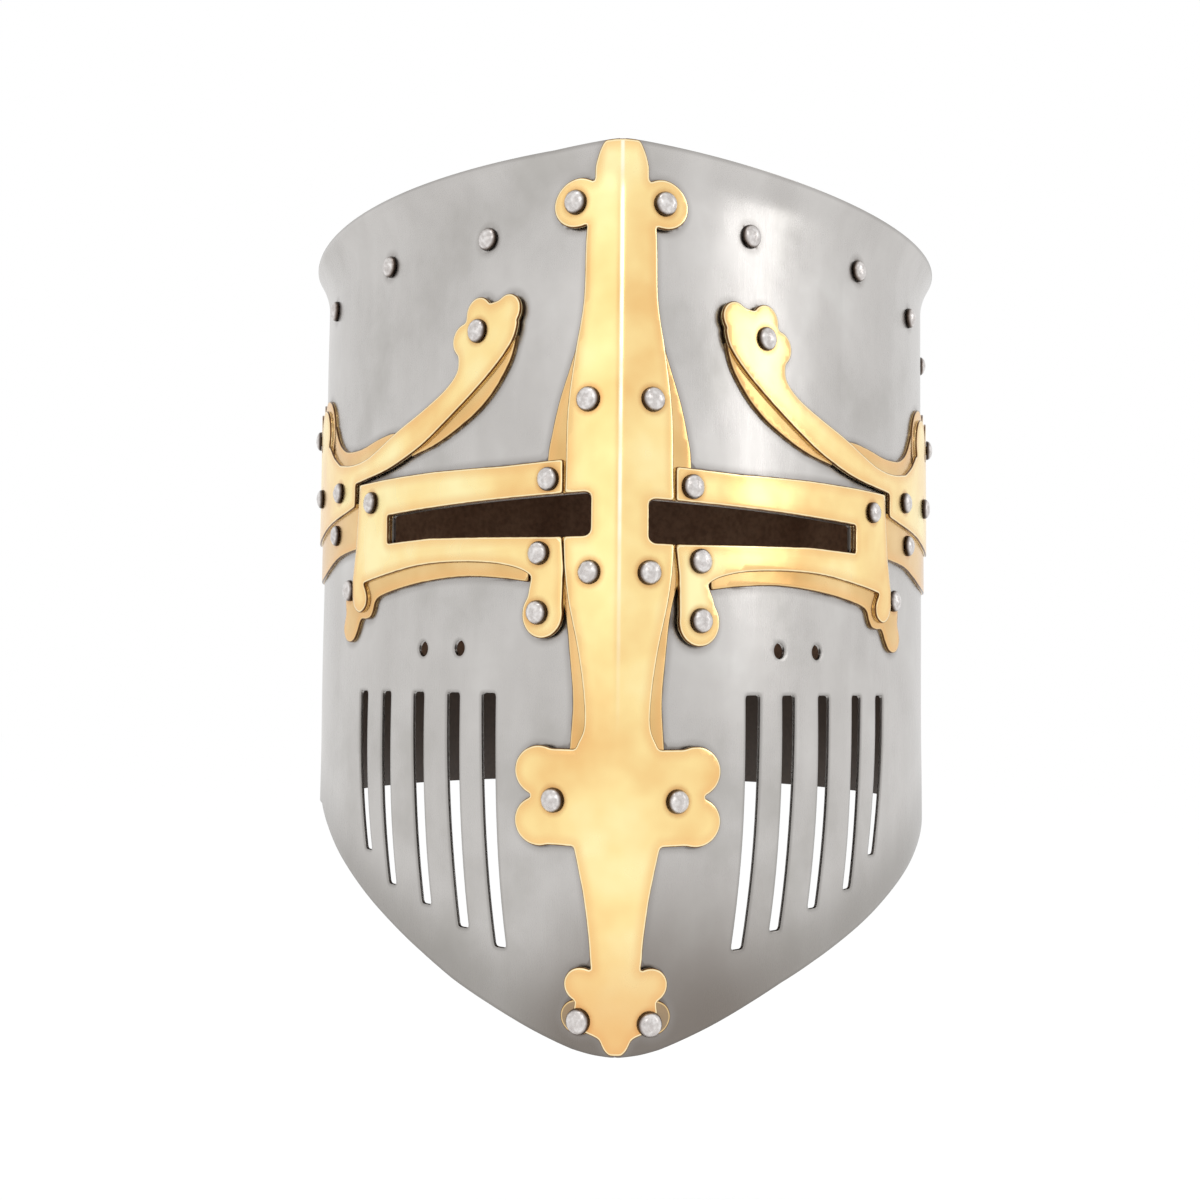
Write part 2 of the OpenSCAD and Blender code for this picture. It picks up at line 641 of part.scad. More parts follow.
module liner() {
    outer = [for (s = ring_stations) band_face(s, 0)];
    inner = [for (s = ring_stations) band_face(s, leather)];
    color(leather_colour) {
        difference() {
            translate([0, 0, band_top - band_height]) linear_extrude(height = band_height) difference() {
                polygon(outer);
                polygon(inner);
            }
            drill(rim_all);
            drill(both([head_rivet], 0));
        }
        for (k = [0 : tongues - 1]) tongue(2 * half_girth * (k + 0.5) / tongues);
    }
}
lace_ring = 19;
module crown_lace() {
    color(leather_colour) translate([dome_centre.x, dome_centre.y, tongue_top + lace / 2 + sheet_gap])
        rotate_extrude() translate([lace_ring, 0]) circle(r = lace / 2);
}
module rim_washers() {
    color(rivet_colour) for (r = rim_all)
        placed(r[0], r[1]) rotate_extrude()
            translate([shank / 2 + shank_gap, -wall_depth(r[0]) - liner_face])
                square([washer_width / 2 - shank / 2 - shank_gap, washer]);
}

front_plate_left();
front_plate_right();
back_plate();
top_plate();
keel_bar();
keel_backing();
left_side() eye_frame();  // eye_frame_left
right_side() eye_frame();  // eye_frame_right
left_side() frame_backing();  // frame_backing_left
right_side() frame_backing();  // frame_backing_right
left_side() side_fleur();  // side_fleur_left
right_side() side_fleur();  // side_fleur_right
left_side() side_backing();  // side_backing_left
right_side() side_backing();  // side_backing_right
rim_rivets();
keel_rivets();
frame_rivets();
side_rivets();
seam_rivets();
liner();
crown_lace();
rim_washers();
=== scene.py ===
# %% [markdown]
# # A pot helm of satin steel with riveted brass mounts
#
# This lesson dresses a finished construction model. The model gives the places and the sizes, and Blender
# gives what the eye needs: sheet metal with softened edges, brass with a browned outline that is partly painted
# shade, rivets that were shaped by hand, and oiled leather inside. Lengths are in millimetres while a shape is
# worked out, and become metres when a mesh is made.

import json
import math

import bpy
import numpy as np
from mathutils import Matrix, Vector
from mathutils.geometry import delaunay_2d_cdt
from mathutils.kdtree import KDTree

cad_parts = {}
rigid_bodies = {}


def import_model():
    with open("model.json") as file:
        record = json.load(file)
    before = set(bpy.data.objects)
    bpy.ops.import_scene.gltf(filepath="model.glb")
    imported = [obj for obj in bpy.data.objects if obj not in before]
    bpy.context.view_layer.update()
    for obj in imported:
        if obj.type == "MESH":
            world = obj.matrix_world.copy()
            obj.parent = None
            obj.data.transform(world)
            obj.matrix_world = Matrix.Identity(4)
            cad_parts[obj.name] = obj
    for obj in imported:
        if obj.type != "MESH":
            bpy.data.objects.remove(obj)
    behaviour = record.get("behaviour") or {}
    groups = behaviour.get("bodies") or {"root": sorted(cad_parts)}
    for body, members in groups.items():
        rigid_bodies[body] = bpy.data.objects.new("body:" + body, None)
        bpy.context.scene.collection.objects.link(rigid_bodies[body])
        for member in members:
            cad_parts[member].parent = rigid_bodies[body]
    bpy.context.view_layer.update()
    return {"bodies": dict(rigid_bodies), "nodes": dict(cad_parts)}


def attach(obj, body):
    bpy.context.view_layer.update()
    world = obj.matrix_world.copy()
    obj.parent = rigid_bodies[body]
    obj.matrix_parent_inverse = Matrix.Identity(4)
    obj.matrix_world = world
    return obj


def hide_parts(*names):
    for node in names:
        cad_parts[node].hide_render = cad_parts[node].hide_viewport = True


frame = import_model()
BODY = list(frame["bodies"])[0]
MM = 0.001

# %% [markdown]
# ## The camera
#
# The helm is seen from close by, a little below its middle, so the camera has to stand at the photograph's own
# distance: a longer lens from farther away would flatten the keel. The place, the small tilt and the lens come
# from matching the helm's outline.

# %% Camera
CAMERA_PLACE = Vector((2.68, -537.33, 104.42)) * MM
CAMERA_YAW, CAMERA_PITCH, CAMERA_ROLL = (math.radians(a) for a in (1.154, 3.407, 0.5585))
CAMERA_LENS, FILM_WIDTH = 42.38, 36


def put(name, data):
    """A new object in the scene."""
    obj = bpy.data.objects.new(name, data)
    bpy.context.scene.collection.objects.link(obj)
    return obj


def camera_turn():
    """Aimed level along +Y, then raised by the pitch, rolled about the line of sight and swung by the yaw."""
    return (Matrix.Rotation(CAMERA_YAW, 4, "Z") @ Matrix.Rotation(math.pi / 2 + CAMERA_PITCH, 4, "X")
            @ Matrix.Rotation(CAMERA_ROLL, 4, "Z"))


camera_data = bpy.data.cameras.new("camera")
camera_data.lens = CAMERA_LENS
camera_data.sensor_width = FILM_WIDTH
camera = put("camera", camera_data)
camera.matrix_world = Matrix.Translation(CAMERA_PLACE) @ camera_turn()
bpy.context.scene.camera = camera
print("camera at", [round(v, 3) for v in CAMERA_PLACE], "lens", CAMERA_LENS)

# %% [markdown]
# ## The wall
#
# Steel, brass, rivets and leather all lie on one wall, so one function places everything: it takes the distance
# s from the keel along the wall, the height z, and the depth d outward from the steel. The plan is a Bezier
# curve from the keel to the ear and a quarter of an ellipse round the back. The fold of the keel is sharp above
# and opens into a rounded nose near the tip, which a hyperbola in place of the corner gives.

# %% Plan of the wall
HALF_WIDTH, FRONT_DEPTH, BACK_DEPTH = 115.0, 156.0, 126.0
KEEL_ANGLE = math.radians(23)
CHEEK_REACH, TEMPLE_REACH = 46.0, 70.0
STEEL, GAP, BRASS = 1.2, 0.1, 0.9
SHEET = STEEL + GAP
UNDER_LOW, UNDER_HIGH = GAP, GAP + BRASS
UPPER_LOW, UPPER_HIGH = UNDER_HIGH + GAP, UNDER_HIGH + GAP + BRASS
RIM, REAR_EDGE = 260.0, 60.0
FLARE_START, FLARE_HEIGHT, FLARE_REACH = 245.0, 15.0, 4.5
CENTRE_Y = (FRONT_DEPTH + (FLARE_REACH + UPPER_HIGH) / math.cos(KEEL_ANGLE)
            - (BACK_DEPTH - SHEET + FLARE_REACH)) / 2
TIP_Y = CENTRE_Y - FRONT_DEPTH


def plan_curve():
    t = np.linspace(0, 1, 1501)[:, None]
    corners = [(0, -FRONT_DEPTH), (CHEEK_REACH, CHEEK_REACH * math.tan(KEEL_ANGLE) - FRONT_DEPTH),
               (HALF_WIDTH, -TEMPLE_REACH), (HALF_WIDTH, 0)]
    a, b, c, d = (np.array(p) for p in corners)
    front = (1 - t) ** 3 * a + 3 * t * (1 - t) ** 2 * b + 3 * t * t * (1 - t) * c + t ** 3 * d
    turn = np.radians(np.linspace(0, 90, 1201)[1:])
    back = np.stack([HALF_WIDTH * np.cos(turn), BACK_DEPTH * np.sin(turn)], 1)
    return np.concatenate([front, back])


PLAN = plan_curve()
ARC = np.concatenate([[0], np.cumsum(np.linalg.norm(np.diff(PLAN, axis=0), axis=1))])
HALF_GIRTH = ARC[-1]
print("girth of the helm", round(2 * HALF_GIRTH, 1), "mm")

# %% Place anything on the wall
CREASE_SHARP, CREASE_SOFT = 1.0, 8.0
CREASE_FROM, CREASE_TO, CREASE_REACH = 100.0, 30.0, 200.0
WAVES = [(9, 0.031, 1.3, 0.07), (5, -0.067, 4.1, 0.07), (17, 0.105, 2.2, 0.035), (26, -0.05, 0.4, 0.03)]
WAVES_END, WAVES_FADE = 258.0, 20.0
DENT_DEPTH, DENT_WIDTH = 0.22, 9.0
RIM_LEFT = [(-49, 240), (-100, 242), (-153, 239), (-205, 238)]
RIM_RIGHT = [(46, 240.5), (101, 241.5), (147, 236), (190, 228)]
RIM_BACK = [(s, 238) for s in (250, 300, 350, HALF_GIRTH, -350, -300, -250)]
RIM_RIVETS = RIM_LEFT + RIM_RIGHT + RIM_BACK


def fold(s):
    """The same place, with s counted the shorter way round from the keel."""
    return np.where(np.abs(s) > HALF_GIRTH, np.sign(s) * (np.abs(s) - 2 * HALF_GIRTH), s)


def sharp_plan(s):
    f = fold(np.asarray(s, float))
    return np.sign(f) * np.interp(np.abs(f), ARC, PLAN[:, 0]), np.interp(np.abs(f), ARC, PLAN[:, 1]) + CENTRE_Y


def plan_at(s, z):
    """The plan at a height, with the keel's fold opened below."""
    x, y = sharp_plan(s)
    t = np.clip((CREASE_FROM - z) / (CREASE_FROM - CREASE_TO), 0, 1)
    crease = CREASE_SHARP + (CREASE_SOFT - CREASE_SHARP) * t * t * (3 - 2 * t)
    near = np.abs(fold(np.asarray(s, float))) < CREASE_REACH
    return x, y + near * math.tan(KEEL_ANGLE) * (np.sqrt(x * x + crease * crease) - np.abs(x))


def out_from(s, z):
    """The direction square to the wall, level."""
    x1, y1 = plan_at(np.asarray(s, float) - 0.3, z)
    x2, y2 = plan_at(np.asarray(s, float) + 0.3, z)
    nx, ny = y2 - y1, x1 - x2
    size = np.hypot(nx, ny)
    return nx / size, ny / size


def flare(z):
    return FLARE_REACH * (np.clip(z - FLARE_START, 0, FLARE_HEIGHT) / FLARE_HEIGHT) ** 2


def hand_waves(s, z):
    """How far the hammered sheet strays from its true shape, never outward."""
    total = sum(size * (np.sin(turns * math.pi / HALF_GIRTH * s + rate * z + start) - 1)
                for turns, rate, start, size in WAVES)
    total = total * np.clip((WAVES_END - z) / WAVES_FADE, 0, 1)
    for rivet_s, rivet_z in RIM_RIVETS:
        away = (s - rivet_s) ** 2 + (z - rivet_z) ** 2
        total = total - DENT_DEPTH * np.exp(-away / DENT_WIDTH ** 2)
    return total


def wall(s, z, d, flared=True):
    """Points in millimetres, one row for each s, z and d."""
    s, z, d = np.broadcast_arrays(np.asarray(s, float), np.asarray(z, float), np.asarray(d, float))
    x, y = plan_at(s, z)
    nx, ny = out_from(s, z)
    out = d + hand_waves(s, z) + (flare(z) if flared else 0)
    return np.stack([x + nx * out, y + ny * out, z], -1)


print("keel at eye height", np.round(wall(0, 153, 0), 2), "ear", np.round(wall(196, 153, 0), 2))

# %% [markdown]
# ## From an outline to a sheet
#
# Every plate and mount here is a flat outline bent round the wall. A mesh of it needs three things: the union of
# its overlapping lobes and strips, an even fill so that it bends smoothly, and an edge that is rounded a little
# as a file leaves it. Blender's own constrained Delaunay triangulation does the first two, and the third comes
# from the distance to the outline. The same distance is kept on the mesh, for the finish to darken edges with.

# %% Outlines
CURVE_STEPS, DISC_POINTS = 6, 48


def smooth(points):
    """A Catmull-Rom curve through the points."""
    p = [np.array(q, float) for q in points]
    out = []
    for i in range(len(p) - 1):
        a, b, c, d = p[max(0, i - 1)], p[i], p[i + 1], p[min(len(p) - 1, i + 2)]
        for t in (j / CURVE_STEPS for j in range(CURVE_STEPS)):
            out.append(0.5 * (2 * b + (c - a) * t + (2 * a - 5 * b + 4 * c - d) * t * t
                              + (3 * b - a - 3 * c + d) * t ** 3))
    return [list(q) for q in out] + [list(p[-1])]


def seen(s, angle):
    """Where s lies across a drawing of the wall that is made square to it at this angle."""
    x, y = sharp_plan(s)
    return x * math.cos(math.radians(angle)) + y * math.sin(math.radians(angle))


def unseen(u, angle):
    """The s of a place in such a drawing."""
    s = np.linspace(-70, 70, 1401) if angle == 0 else np.linspace(0, 240, 2401)
    return np.interp(u, seen(s, angle), s)


def as_drawn(s, z, depth, angle):
    """Where an edge cut straight back in this view crosses the wall at this depth."""
    nx, ny = out_from(s, 200)
    lean = np.arctan2(np.abs(nx), -ny) - math.radians(angle)
    near = np.clip(np.abs(s) / 6, 0, 1)
    return s - np.sign(s) * (depth + flare(z)) * np.tan(lean) * near * near * (3 - 2 * near)


def disc(s, z, radius, angle):
    """A round lobe, round in the view at this angle."""
    turn = np.arange(DISC_POINTS) * 2 * math.pi / DISC_POINTS
    return np.stack([unseen(seen(s, angle) + radius * np.cos(turn), angle), z + radius * np.sin(turn)], 1)


def discs(lobes, angle):
    return [disc(s, z, radius, angle) for s, z, radius in lobes]


def area(loop):
    """Positive where the loop turns to the left."""
    p, q = np.asarray(loop), np.roll(loop, -1, axis=0)
    return 0.5 * np.sum(p[:, 0] * q[:, 1] - q[:, 0] * p[:, 1])


def triangles(solids, holes, points=()):
    """Vertices and triangles of the solids' union less the holes."""
    places, faces = [], []
    for shape in [*solids, *holes]:
        shape = np.asarray(shape, float)
        shape = shape if area(shape) > 0 else shape[::-1]
        faces.append(list(range(len(places), len(places) + len(shape))))
        places += [Vector(p) for p in shape]
    places += [Vector(p) for p in points]
    found, _, tris, _, _, origins = delaunay_2d_cdt(places, [], faces, 0, 1e-5)
    kept = [t for t, o in zip(tris, origins)
            if any(k < len(solids) for k in o) and not any(k >= len(solids) for k in o)]
    flat = np.array([v[:] for v in found])
    kept = np.array(kept)
    a, b, c = (flat[kept[:, k]] for k in range(3))
    turned = (b[:, 0] - a[:, 0]) * (c[:, 1] - a[:, 1]) - (b[:, 1] - a[:, 1]) * (c[:, 0] - a[:, 0])
    kept[turned < 0] = kept[turned < 0][:, ::-1]
    return flat, kept[np.abs(turned) > 1e-9]


def border(tris):
    """Edges with a triangle on one side only, in the direction that keeps it on their left."""
    edges = {(int(t[k]), int(t[(k + 1) % 3])) for t in tris for k in range(3)}
    return [(a, b) for a, b in edges if (b, a) not in edges]


def loops_of(solids, holes=()):
    """Closed loops round the union, with the material on their left."""
    flat, tris = triangles(solids, holes)
    after = {}
    for a, b in border(tris):
        after.setdefault(a, []).append(b)
    loops = []
    while after:
        loop, at = [], next(iter(after))
        while at in after and (not loop or at != loop[0]):
            loop.append(at)
            onward = after[at].pop()
            if not after[at]:
                del after[at]
            at = onward
        loops.append(flat[loop])
    return [loop for loop in loops if abs(area(loop)) > 0.3]


def even(loop, step, soften=1):
    """The loop with points at an even spacing, and its corners eased as a file eases them."""
    closed = np.vstack([loop, loop[:1]])
    along = np.concatenate([[0], np.cumsum(np.linalg.norm(np.diff(closed, axis=0), axis=1))])
    count = max(8, int(round(along[-1] / step)))
    at = np.arange(count) * along[-1] / count
    out = np.stack([np.interp(at, along, closed[:, k]) for k in range(2)], 1)
    for _ in range(soften):
        out = 0.5 * out + 0.25 * (np.roll(out, 1, axis=0) + np.roll(out, -1, axis=0))
    return out


def inset(loop, amount):
    """The loop moved into its material."""
    ahead = np.roll(loop, -1, axis=0) - np.roll(loop, 1, axis=0)
    size = np.maximum(np.linalg.norm(ahead, axis=1, keepdims=True), 1e-9)
    return loop + amount * np.stack([-ahead[:, 1], ahead[:, 0]], 1) / size


def distance_to(points, loops):
    """Distance from each point to the nearest loop."""
    a = np.vstack(loops)
    b = np.vstack([np.roll(loop, -1, axis=0) for loop in loops])
    ab = b - a
    length = np.maximum((ab ** 2).sum(1), 1e-12)
    best = np.full(len(points), 1e9)
    for i in range(0, len(points), 2000):
        p = points[i:i + 2000, None, :]
        t = np.clip(((p - a) * ab).sum(2) / length, 0, 1)
        best[i:i + 2000] = np.sqrt((((a + t[..., None] * ab) - p) ** 2).sum(2).min(1))
    return best


print("a disc on the cheek spans s", np.round(disc(56, 209, 5, 30)[:, 0].min(), 2), "up")

# %% Bend an outline into a sheet of metal
KEEL_COLUMNS = [0, 0.5, 1, 1.6, 2.4, 3.4, 4.6, 6, 8]


def fill(loops, step, rounding, columns=()):
    """Points and triangles between the loops: an even grid inside, and two close rings along each edge."""
    rings = [inset(loop, rounding * share) for loop in loops for share in (0.3, 1)]
    low = np.min([loop.min(0) for loop in loops], axis=0)
    high = np.max([loop.max(0) for loop in loops], axis=0)
    lines = np.unique(np.concatenate([np.arange(low[0], high[0], step),
                                      [c for c in columns if low[0] < c < high[0]]]))
    rows = np.unique(np.concatenate([np.arange(low[1], min(high[1], FLARE_START), step),
                                     np.arange(max(low[1], FLARE_START), high[1], step / 2)]))
    grid = np.stack(np.meshgrid(lines, rows), -1).reshape(-1, 2)
    away = distance_to(grid, loops)
    grid = grid[away > rounding + 0.35 * step]
    ring = np.vstack(rings)
    ring = ring[distance_to(ring, loops) > rounding * 0.25]
    solids = [loop for loop in loops if area(loop) > 0]
    holes = [loop for loop in loops if area(loop) < 0]
    flat, tris = triangles(solids, holes, [*ring, *grid])
    used = np.unique(tris)
    renumber = np.zeros(len(flat), int)
    renumber[used] = np.arange(len(used))
    return flat[used], renumber[tris]


def mesh_object(name, verts, faces, smooth_below=50):
    """A mesh in metres from points in millimetres, shaded smooth but for its sharp edges."""
    mesh = bpy.data.meshes.new(name)
    mesh.from_pydata((np.asarray(verts) * MM).tolist(), [], [list(map(int, f)) for f in faces])
    mesh.validate()
    mesh.set_sharp_from_angle(angle=math.radians(smooth_below))
    return put(name, mesh)


def mark(obj, name, values):
    """Keeps a number at each point of a mesh, for the finishes to read."""
    kept = obj.data.attributes.get(name) or obj.data.attributes.new(name, "FLOAT", "POINT")
    kept.data.foreach_set("value", np.asarray(values, np.float32))


def mark_plain(obj, edge):
    """Distances in millimetres to the sheet's edge, to the nearest corner for dirt and painted shade, and to the
    hem. The last two start out far.
    """
    for name, value in (("edge", edge), ("near_corner", FAR_OFF), ("above", HIGH_UP)):
        mark(obj, name, np.zeros(len(obj.data.vertices)) + value)


def give_slot(obj, which, faces):
    """Some faces take the piece's second finish."""
    slots = np.zeros(len(obj.data.polygons), np.int32)
    slots[faces] = which
    obj.data.polygons.foreach_set("material_index", slots)


SPREAD = {}
WALL_SHADE, FAR_OFF, HIGH_UP = 0.5, 9, 99
GRID, WIDE_GRID, FILED = 1.8, 3.0, 0.35


def sheet_metal(name, loops, low, high, step, rounding, side=1, drop=0.0, columns=(), view=None, inner_slot=0):
    """A closed sheet on the wall between two depths. side -1 makes the left-hand twin."""
    flat, tris = fill(loops, step, rounding, columns)
    away = distance_to(flat, loops)
    if view is not None:
        flat[:, 0] = as_drawn(flat[:, 0], flat[:, 1], high, view)
    ends = border(tris)
    if side < 0:
        flat = flat * [-1, 1]
        tris = tris[:, ::-1]
        ends = [(b, a) for a, b in ends]
    inside = np.clip(1 - away / rounding, 0, 1)
    fall = rounding * (1 - np.sqrt(1 - inside ** 2))
    top = wall(flat[:, 0], flat[:, 1] - drop, high - fall)
    bottom = wall(flat[:, 0], flat[:, 1] - drop, low)
    n = len(flat)
    faces = [*tris, *(tris[:, ::-1] + n), *[(a + n, b + n, b, a) for a, b in ends]]
    obj = mesh_object(name, np.vstack([top, bottom]), faces)
    mark_plain(obj, np.concatenate([away, away * 0 + WALL_SHADE]))
    SPREAD[name] = np.vstack([flat, flat]) - [0, drop]
    give_slot(obj, inner_slot, slice(len(tris), 2 * len(tris)))
    print(name, len(faces), "faces")
    return obj


# %% [markdown]
# ## Shader helpers and colours
#
# Colours are written as they look on a screen, so one function turns each hex value to the linear light that the
# shader wants. The others add one node each with its settings and its links. That keeps every finish below as
# short as its recipe: read a distance or a noise, fade it, and blend a tone in by it.

# %% Colours and nodes
def colour(text):
    parts = [int(text[i:i + 2], 16) / 255 for i in (1, 3, 5)]
    return (*[p / 12.92 if p <= 0.04045 else ((p + 0.055) / 1.055) ** 2.4 for p in parts], 1)


def add(tree, kind, inputs=None, **settings):
    """A new node. inputs gives each input's value, or the socket to link to it."""
    made = tree.nodes.new(kind)
    for name, value in settings.items():
        setattr(made, name, value)
    for name, value in (inputs or {}).items():
        if isinstance(value, bpy.types.NodeSocket):
            tree.links.new(value, made.inputs[name])
        else:
            made.inputs[name].default_value = value
    return made


def maths(tree, operation, *values):
    return add(tree, "ShaderNodeMath", dict(enumerate(values)), operation=operation).outputs[0]


def ramp(tree, value, stops):
    """The colour that a value gets between stops of place and hex colour."""
    made = add(tree, "ShaderNodeValToRGB", {"Fac": value})
    band = made.color_ramp
    while len(band.elements) < len(stops):
        band.elements.new(0.5)
    for element, (place, text) in zip(band.elements, stops):
        element.position = place
        element.color = colour(text)
    return made.outputs["Color"]


def noise(tree, place, size, detail, **more):
    """Clouds of about this size in metres."""
    given = {"Vector": place, "Scale": 1 / size, "Detail": detail, **more}
    return add(tree, "ShaderNodeTexNoise", given).outputs["Fac"]


def drawn_out(tree, place, share):
    """Coordinates in which a pattern runs up and down the helm."""
    return add(tree, "ShaderNodeMapping", {"Vector": place, "Scale": (1.0, 1.0, share)}).outputs[0]


def reading(tree, name):
    """A number that was kept at the points of the mesh."""
    return add(tree, "ShaderNodeAttribute", attribute_name=name).outputs["Fac"]


def spread(tree, value, start, end, first, last, shape="LINEAR"):
    """Goes from first to last while the value goes from start to end."""
    given = {"Value": value, "From Min": start, "From Max": end, "To Min": first, "To Max": last}
    return add(tree, "ShaderNodeMapRange", given, interpolation_type=shape).outputs[0]


def fade(tree, value, start, end, full):
    """Falls softly from full to nothing."""
    return spread(tree, value, start, end, full, 0.0, "SMOOTHSTEP")


def blend(tree, share, under, over, how="MIX"):
    """One tone laid over another by a share."""
    given = {"Factor": share, "A": under, "B": colour(over) if isinstance(over, str) else over}
    return add(tree, "ShaderNodeMix", given, data_type="RGBA", blend_type=how).outputs[2]


def wash(tree, value, under, start, end, full, tone):
    """A tone laid over another where a value is low, which fades out as the value grows."""
    return blend(tree, fade(tree, value, start, end, full), under, tone)


def new_material(name):
    material = bpy.data.materials.new(name)
    material.use_nodes = True
    material.node_tree.nodes.clear()
    return material, material.node_tree


def new_finish(name):
    material, tree = new_material(name)
    return material, tree, add(tree, "ShaderNodeTexCoord").outputs["Object"]


def surface(material, tint, rough, layers, metallic=1.0):
    """Closes a finish. Each layer of bumps is a height, a strength and a depth in metres."""
    tree, normal = material.node_tree, None
    for height, strength, depth in layers:
        given = {"Height": height, "Strength": strength, "Distance": depth}
        if normal:
            given["Normal"] = normal
        normal = add(tree, "ShaderNodeBump", given).outputs["Normal"]
    shader = add(tree, "ShaderNodeBsdfPrincipled",
                 {"Base Color": tint, "Metallic": metallic, "Roughness": rough, "Normal": normal})
    add(tree, "ShaderNodeOutputMaterial", {"Surface": shader.outputs[0]})
    return material


print("steel in linear light", [round(v, 3) for v in colour("#C5C3C1")[:3]])

# %% [markdown]
# ## Satin steel
#
# Mild steel sheet, hammered to shape, ground and then rubbed by hand with grit cloth. To the eye that is a soft
# grey metal: fine scratches and soft streaks that run up and down, dull and bright clouds the size of a thumb, and
# faint planishing marks that make a reflection wander. Beside the brass and round the rivets a thin dark line of
# dirt and painted shade is laid, with a wider soft halo of painted shade. Painted shade also darkens the steel along
# the lower edge, and most of all round the tip, more on the right-hand side.
#
# Each wash of tone is written as four values: where it is full, where it has gone, its strength and its colour.

# %% Satin steel
CLOUD, SCRATCH, PLANISH, RUB_STREAK = 0.034, 0.0006, 0.011, 0.019
STEEL_TONES = [(0.28, "#B5B2AE"), (0.45, "#C2BFBC"), (0.6, "#C8C5C2"), (0.75, "#D1CFCC")]
# The second of these is painted shade that darkens the steel along its lower edge.
STREAKED, HEM_PAINTED_SHADE = (0.38, 0.6, 0.2, "#A5A19D"), (0.0, 26.0, 0.7, "#8C8883")
# Both are painted shade: the first darkens the steel round the tip, the second lays a soft halo beside the brass and
# the rivets.
TIP_PAINTED_SHADE, CORNER_HALO_SHADE = (0.018, 0.062, 0.74, "#6E655D"), (-0.8, 2.0, 0.55, "#8E8985")
# The first of these is a thin dark line beside the brass: dirt, laid darker with painted shade.
CORNER_DIRT_AND_SHADE, EDGE_WORN = (0.2, 1.0, 0.7, "#5A4F47"), "#6F6B67"
# How much farther the painted shade round the tip reaches on the right-hand side.
TIP_SHADE_LEAN = -0.42


def satin_steel():
    material, tree, place = new_finish("satin_steel")
    cloud = noise(tree, place, CLOUD, 4.0, Roughness=0.55)
    scratch = noise(tree, drawn_out(tree, place, 0.06), SCRATCH, 3.0, Roughness=0.7)
    planish = noise(tree, place, PLANISH, 1.0)
    streak = noise(tree, drawn_out(tree, place, 0.28), RUB_STREAK, 3.0)
    tint = wash(tree, streak, ramp(tree, cloud, STEEL_TONES), *STREAKED)
    # Painted shade: the steel is darkened in a band along its lower edge.
    tint = wash(tree, reading(tree, "above"), tint, *HEM_PAINTED_SHADE)
    # Painted shade round the tip, reaching farther on the right-hand side.
    from_tip = add(tree, "ShaderNodeVectorMath", {0: place, 1: (0.0, TIP_Y * MM, 0.0)}, operation="DISTANCE")
    across = add(tree, "ShaderNodeSeparateXYZ", {0: place}).outputs["X"]
    reach = maths(tree, "MULTIPLY_ADD", across, TIP_SHADE_LEAN, from_tip.outputs["Value"])
    tint = wash(tree, reach, tint, *TIP_PAINTED_SHADE)
    near_corner = reading(tree, "near_corner")
    # Painted shade: a soft dark halo beside the brass and round the rivets, broken up by the clouds.
    tint = wash(tree, maths(tree, "MULTIPLY_ADD", cloud, -2.0, near_corner), tint, *CORNER_HALO_SHADE)
    # A thin dark line in the corner beside the brass: dirt, and painted shade.
    tint = wash(tree, near_corner, tint, *CORNER_DIRT_AND_SHADE)
    tint = blend(tree, spread(tree, reading(tree, "edge"), 0.0, 1.2, 0.5, 0.0), tint, EDGE_WORN)
    rough = maths(tree, "MULTIPLY_ADD", scratch, 0.1, spread(tree, cloud, 0.3, 0.7, 0.2, 0.26))
    return surface(material, tint, rough, [(planish, 0.35, 0.0003), (scratch, 0.25, 0.00002)])


STEEL_SKIN = satin_steel()
print(STEEL_SKIN.name)

# %% [markdown]
# ## Browned inside
#
# Nobody polished the inside. It keeps the skin of old linseed oil over forge scale, a warm brown that drinks most
# of the little light that comes in, and that is why the slits read dark from the front. Low down it is painted
# almost black, as painted shade.

# %% Browned inside
SCALE_GRAIN, OIL_RUN = 0.0022, 0.028
OILED = [(0.3, "#6B4E3B"), (0.5, "#80614B"), (0.7, "#8F7058")]
SPECKLED = [(0.35, "#D8D0CA"), (0.6, "#FFFFFF")]
# Painted shade: the inside is darkened almost to black low down.
LOW_INSIDE_SHADE = (0.1, 0.135, 0.85, "#35302B")


def oil_browned():
    material, tree, place = new_finish("oil_browned_steel")
    grain = noise(tree, place, SCALE_GRAIN, 4.0)
    run = noise(tree, drawn_out(tree, place, 0.4), OIL_RUN, 5.0, Roughness=0.6)
    tint = blend(tree, 1.0, ramp(tree, run, OILED), ramp(tree, grain, SPECKLED), "MULTIPLY")
    height = add(tree, "ShaderNodeSeparateXYZ", {0: place}).outputs["Z"]
    # Painted shade low down inside.
    tint = wash(tree, height, tint, *LOW_INSIDE_SHADE)
    rough = spread(tree, run, 0.3, 0.7, 0.36, 0.55)
    return surface(material, tint, rough, [(grain, 0.4, 0.0002), (run, 0.4, 0.0006)], 0.0)


INNER_SKIN = oil_browned()
print(INNER_SKIN.name)

# %% [markdown]
# ## Polished brass
#
# Yellow brass sheet, cut with shears and a saw, filed and buffed after it was riveted on. The buffing wheel never
# reaches the corner between two sheets, so each outline keeps a brown line of tarnish, which is laid darker with
# painted shade, and the filed bevel beside it gets a pale painted highlight. The finish reads the distance to the
# outline for that line, and lets noise break it up; a warmer tone near the outline is a painted reflection. Round
# each rivet a ring of tarnish and painted shade is laid, and a pale painted highlight runs along the ridge of the
# keel. The lower sheets get a darker, browner copy of the finish, which is painted shade, and low down near the tip
# the brass is darkened with painted shade as well.

# %% Polished brass
BRASS_CLOUD, BRASS_DENT, BRASS_RUB, RAGGED = 0.03, 0.009, 0.0009, 1 / 320
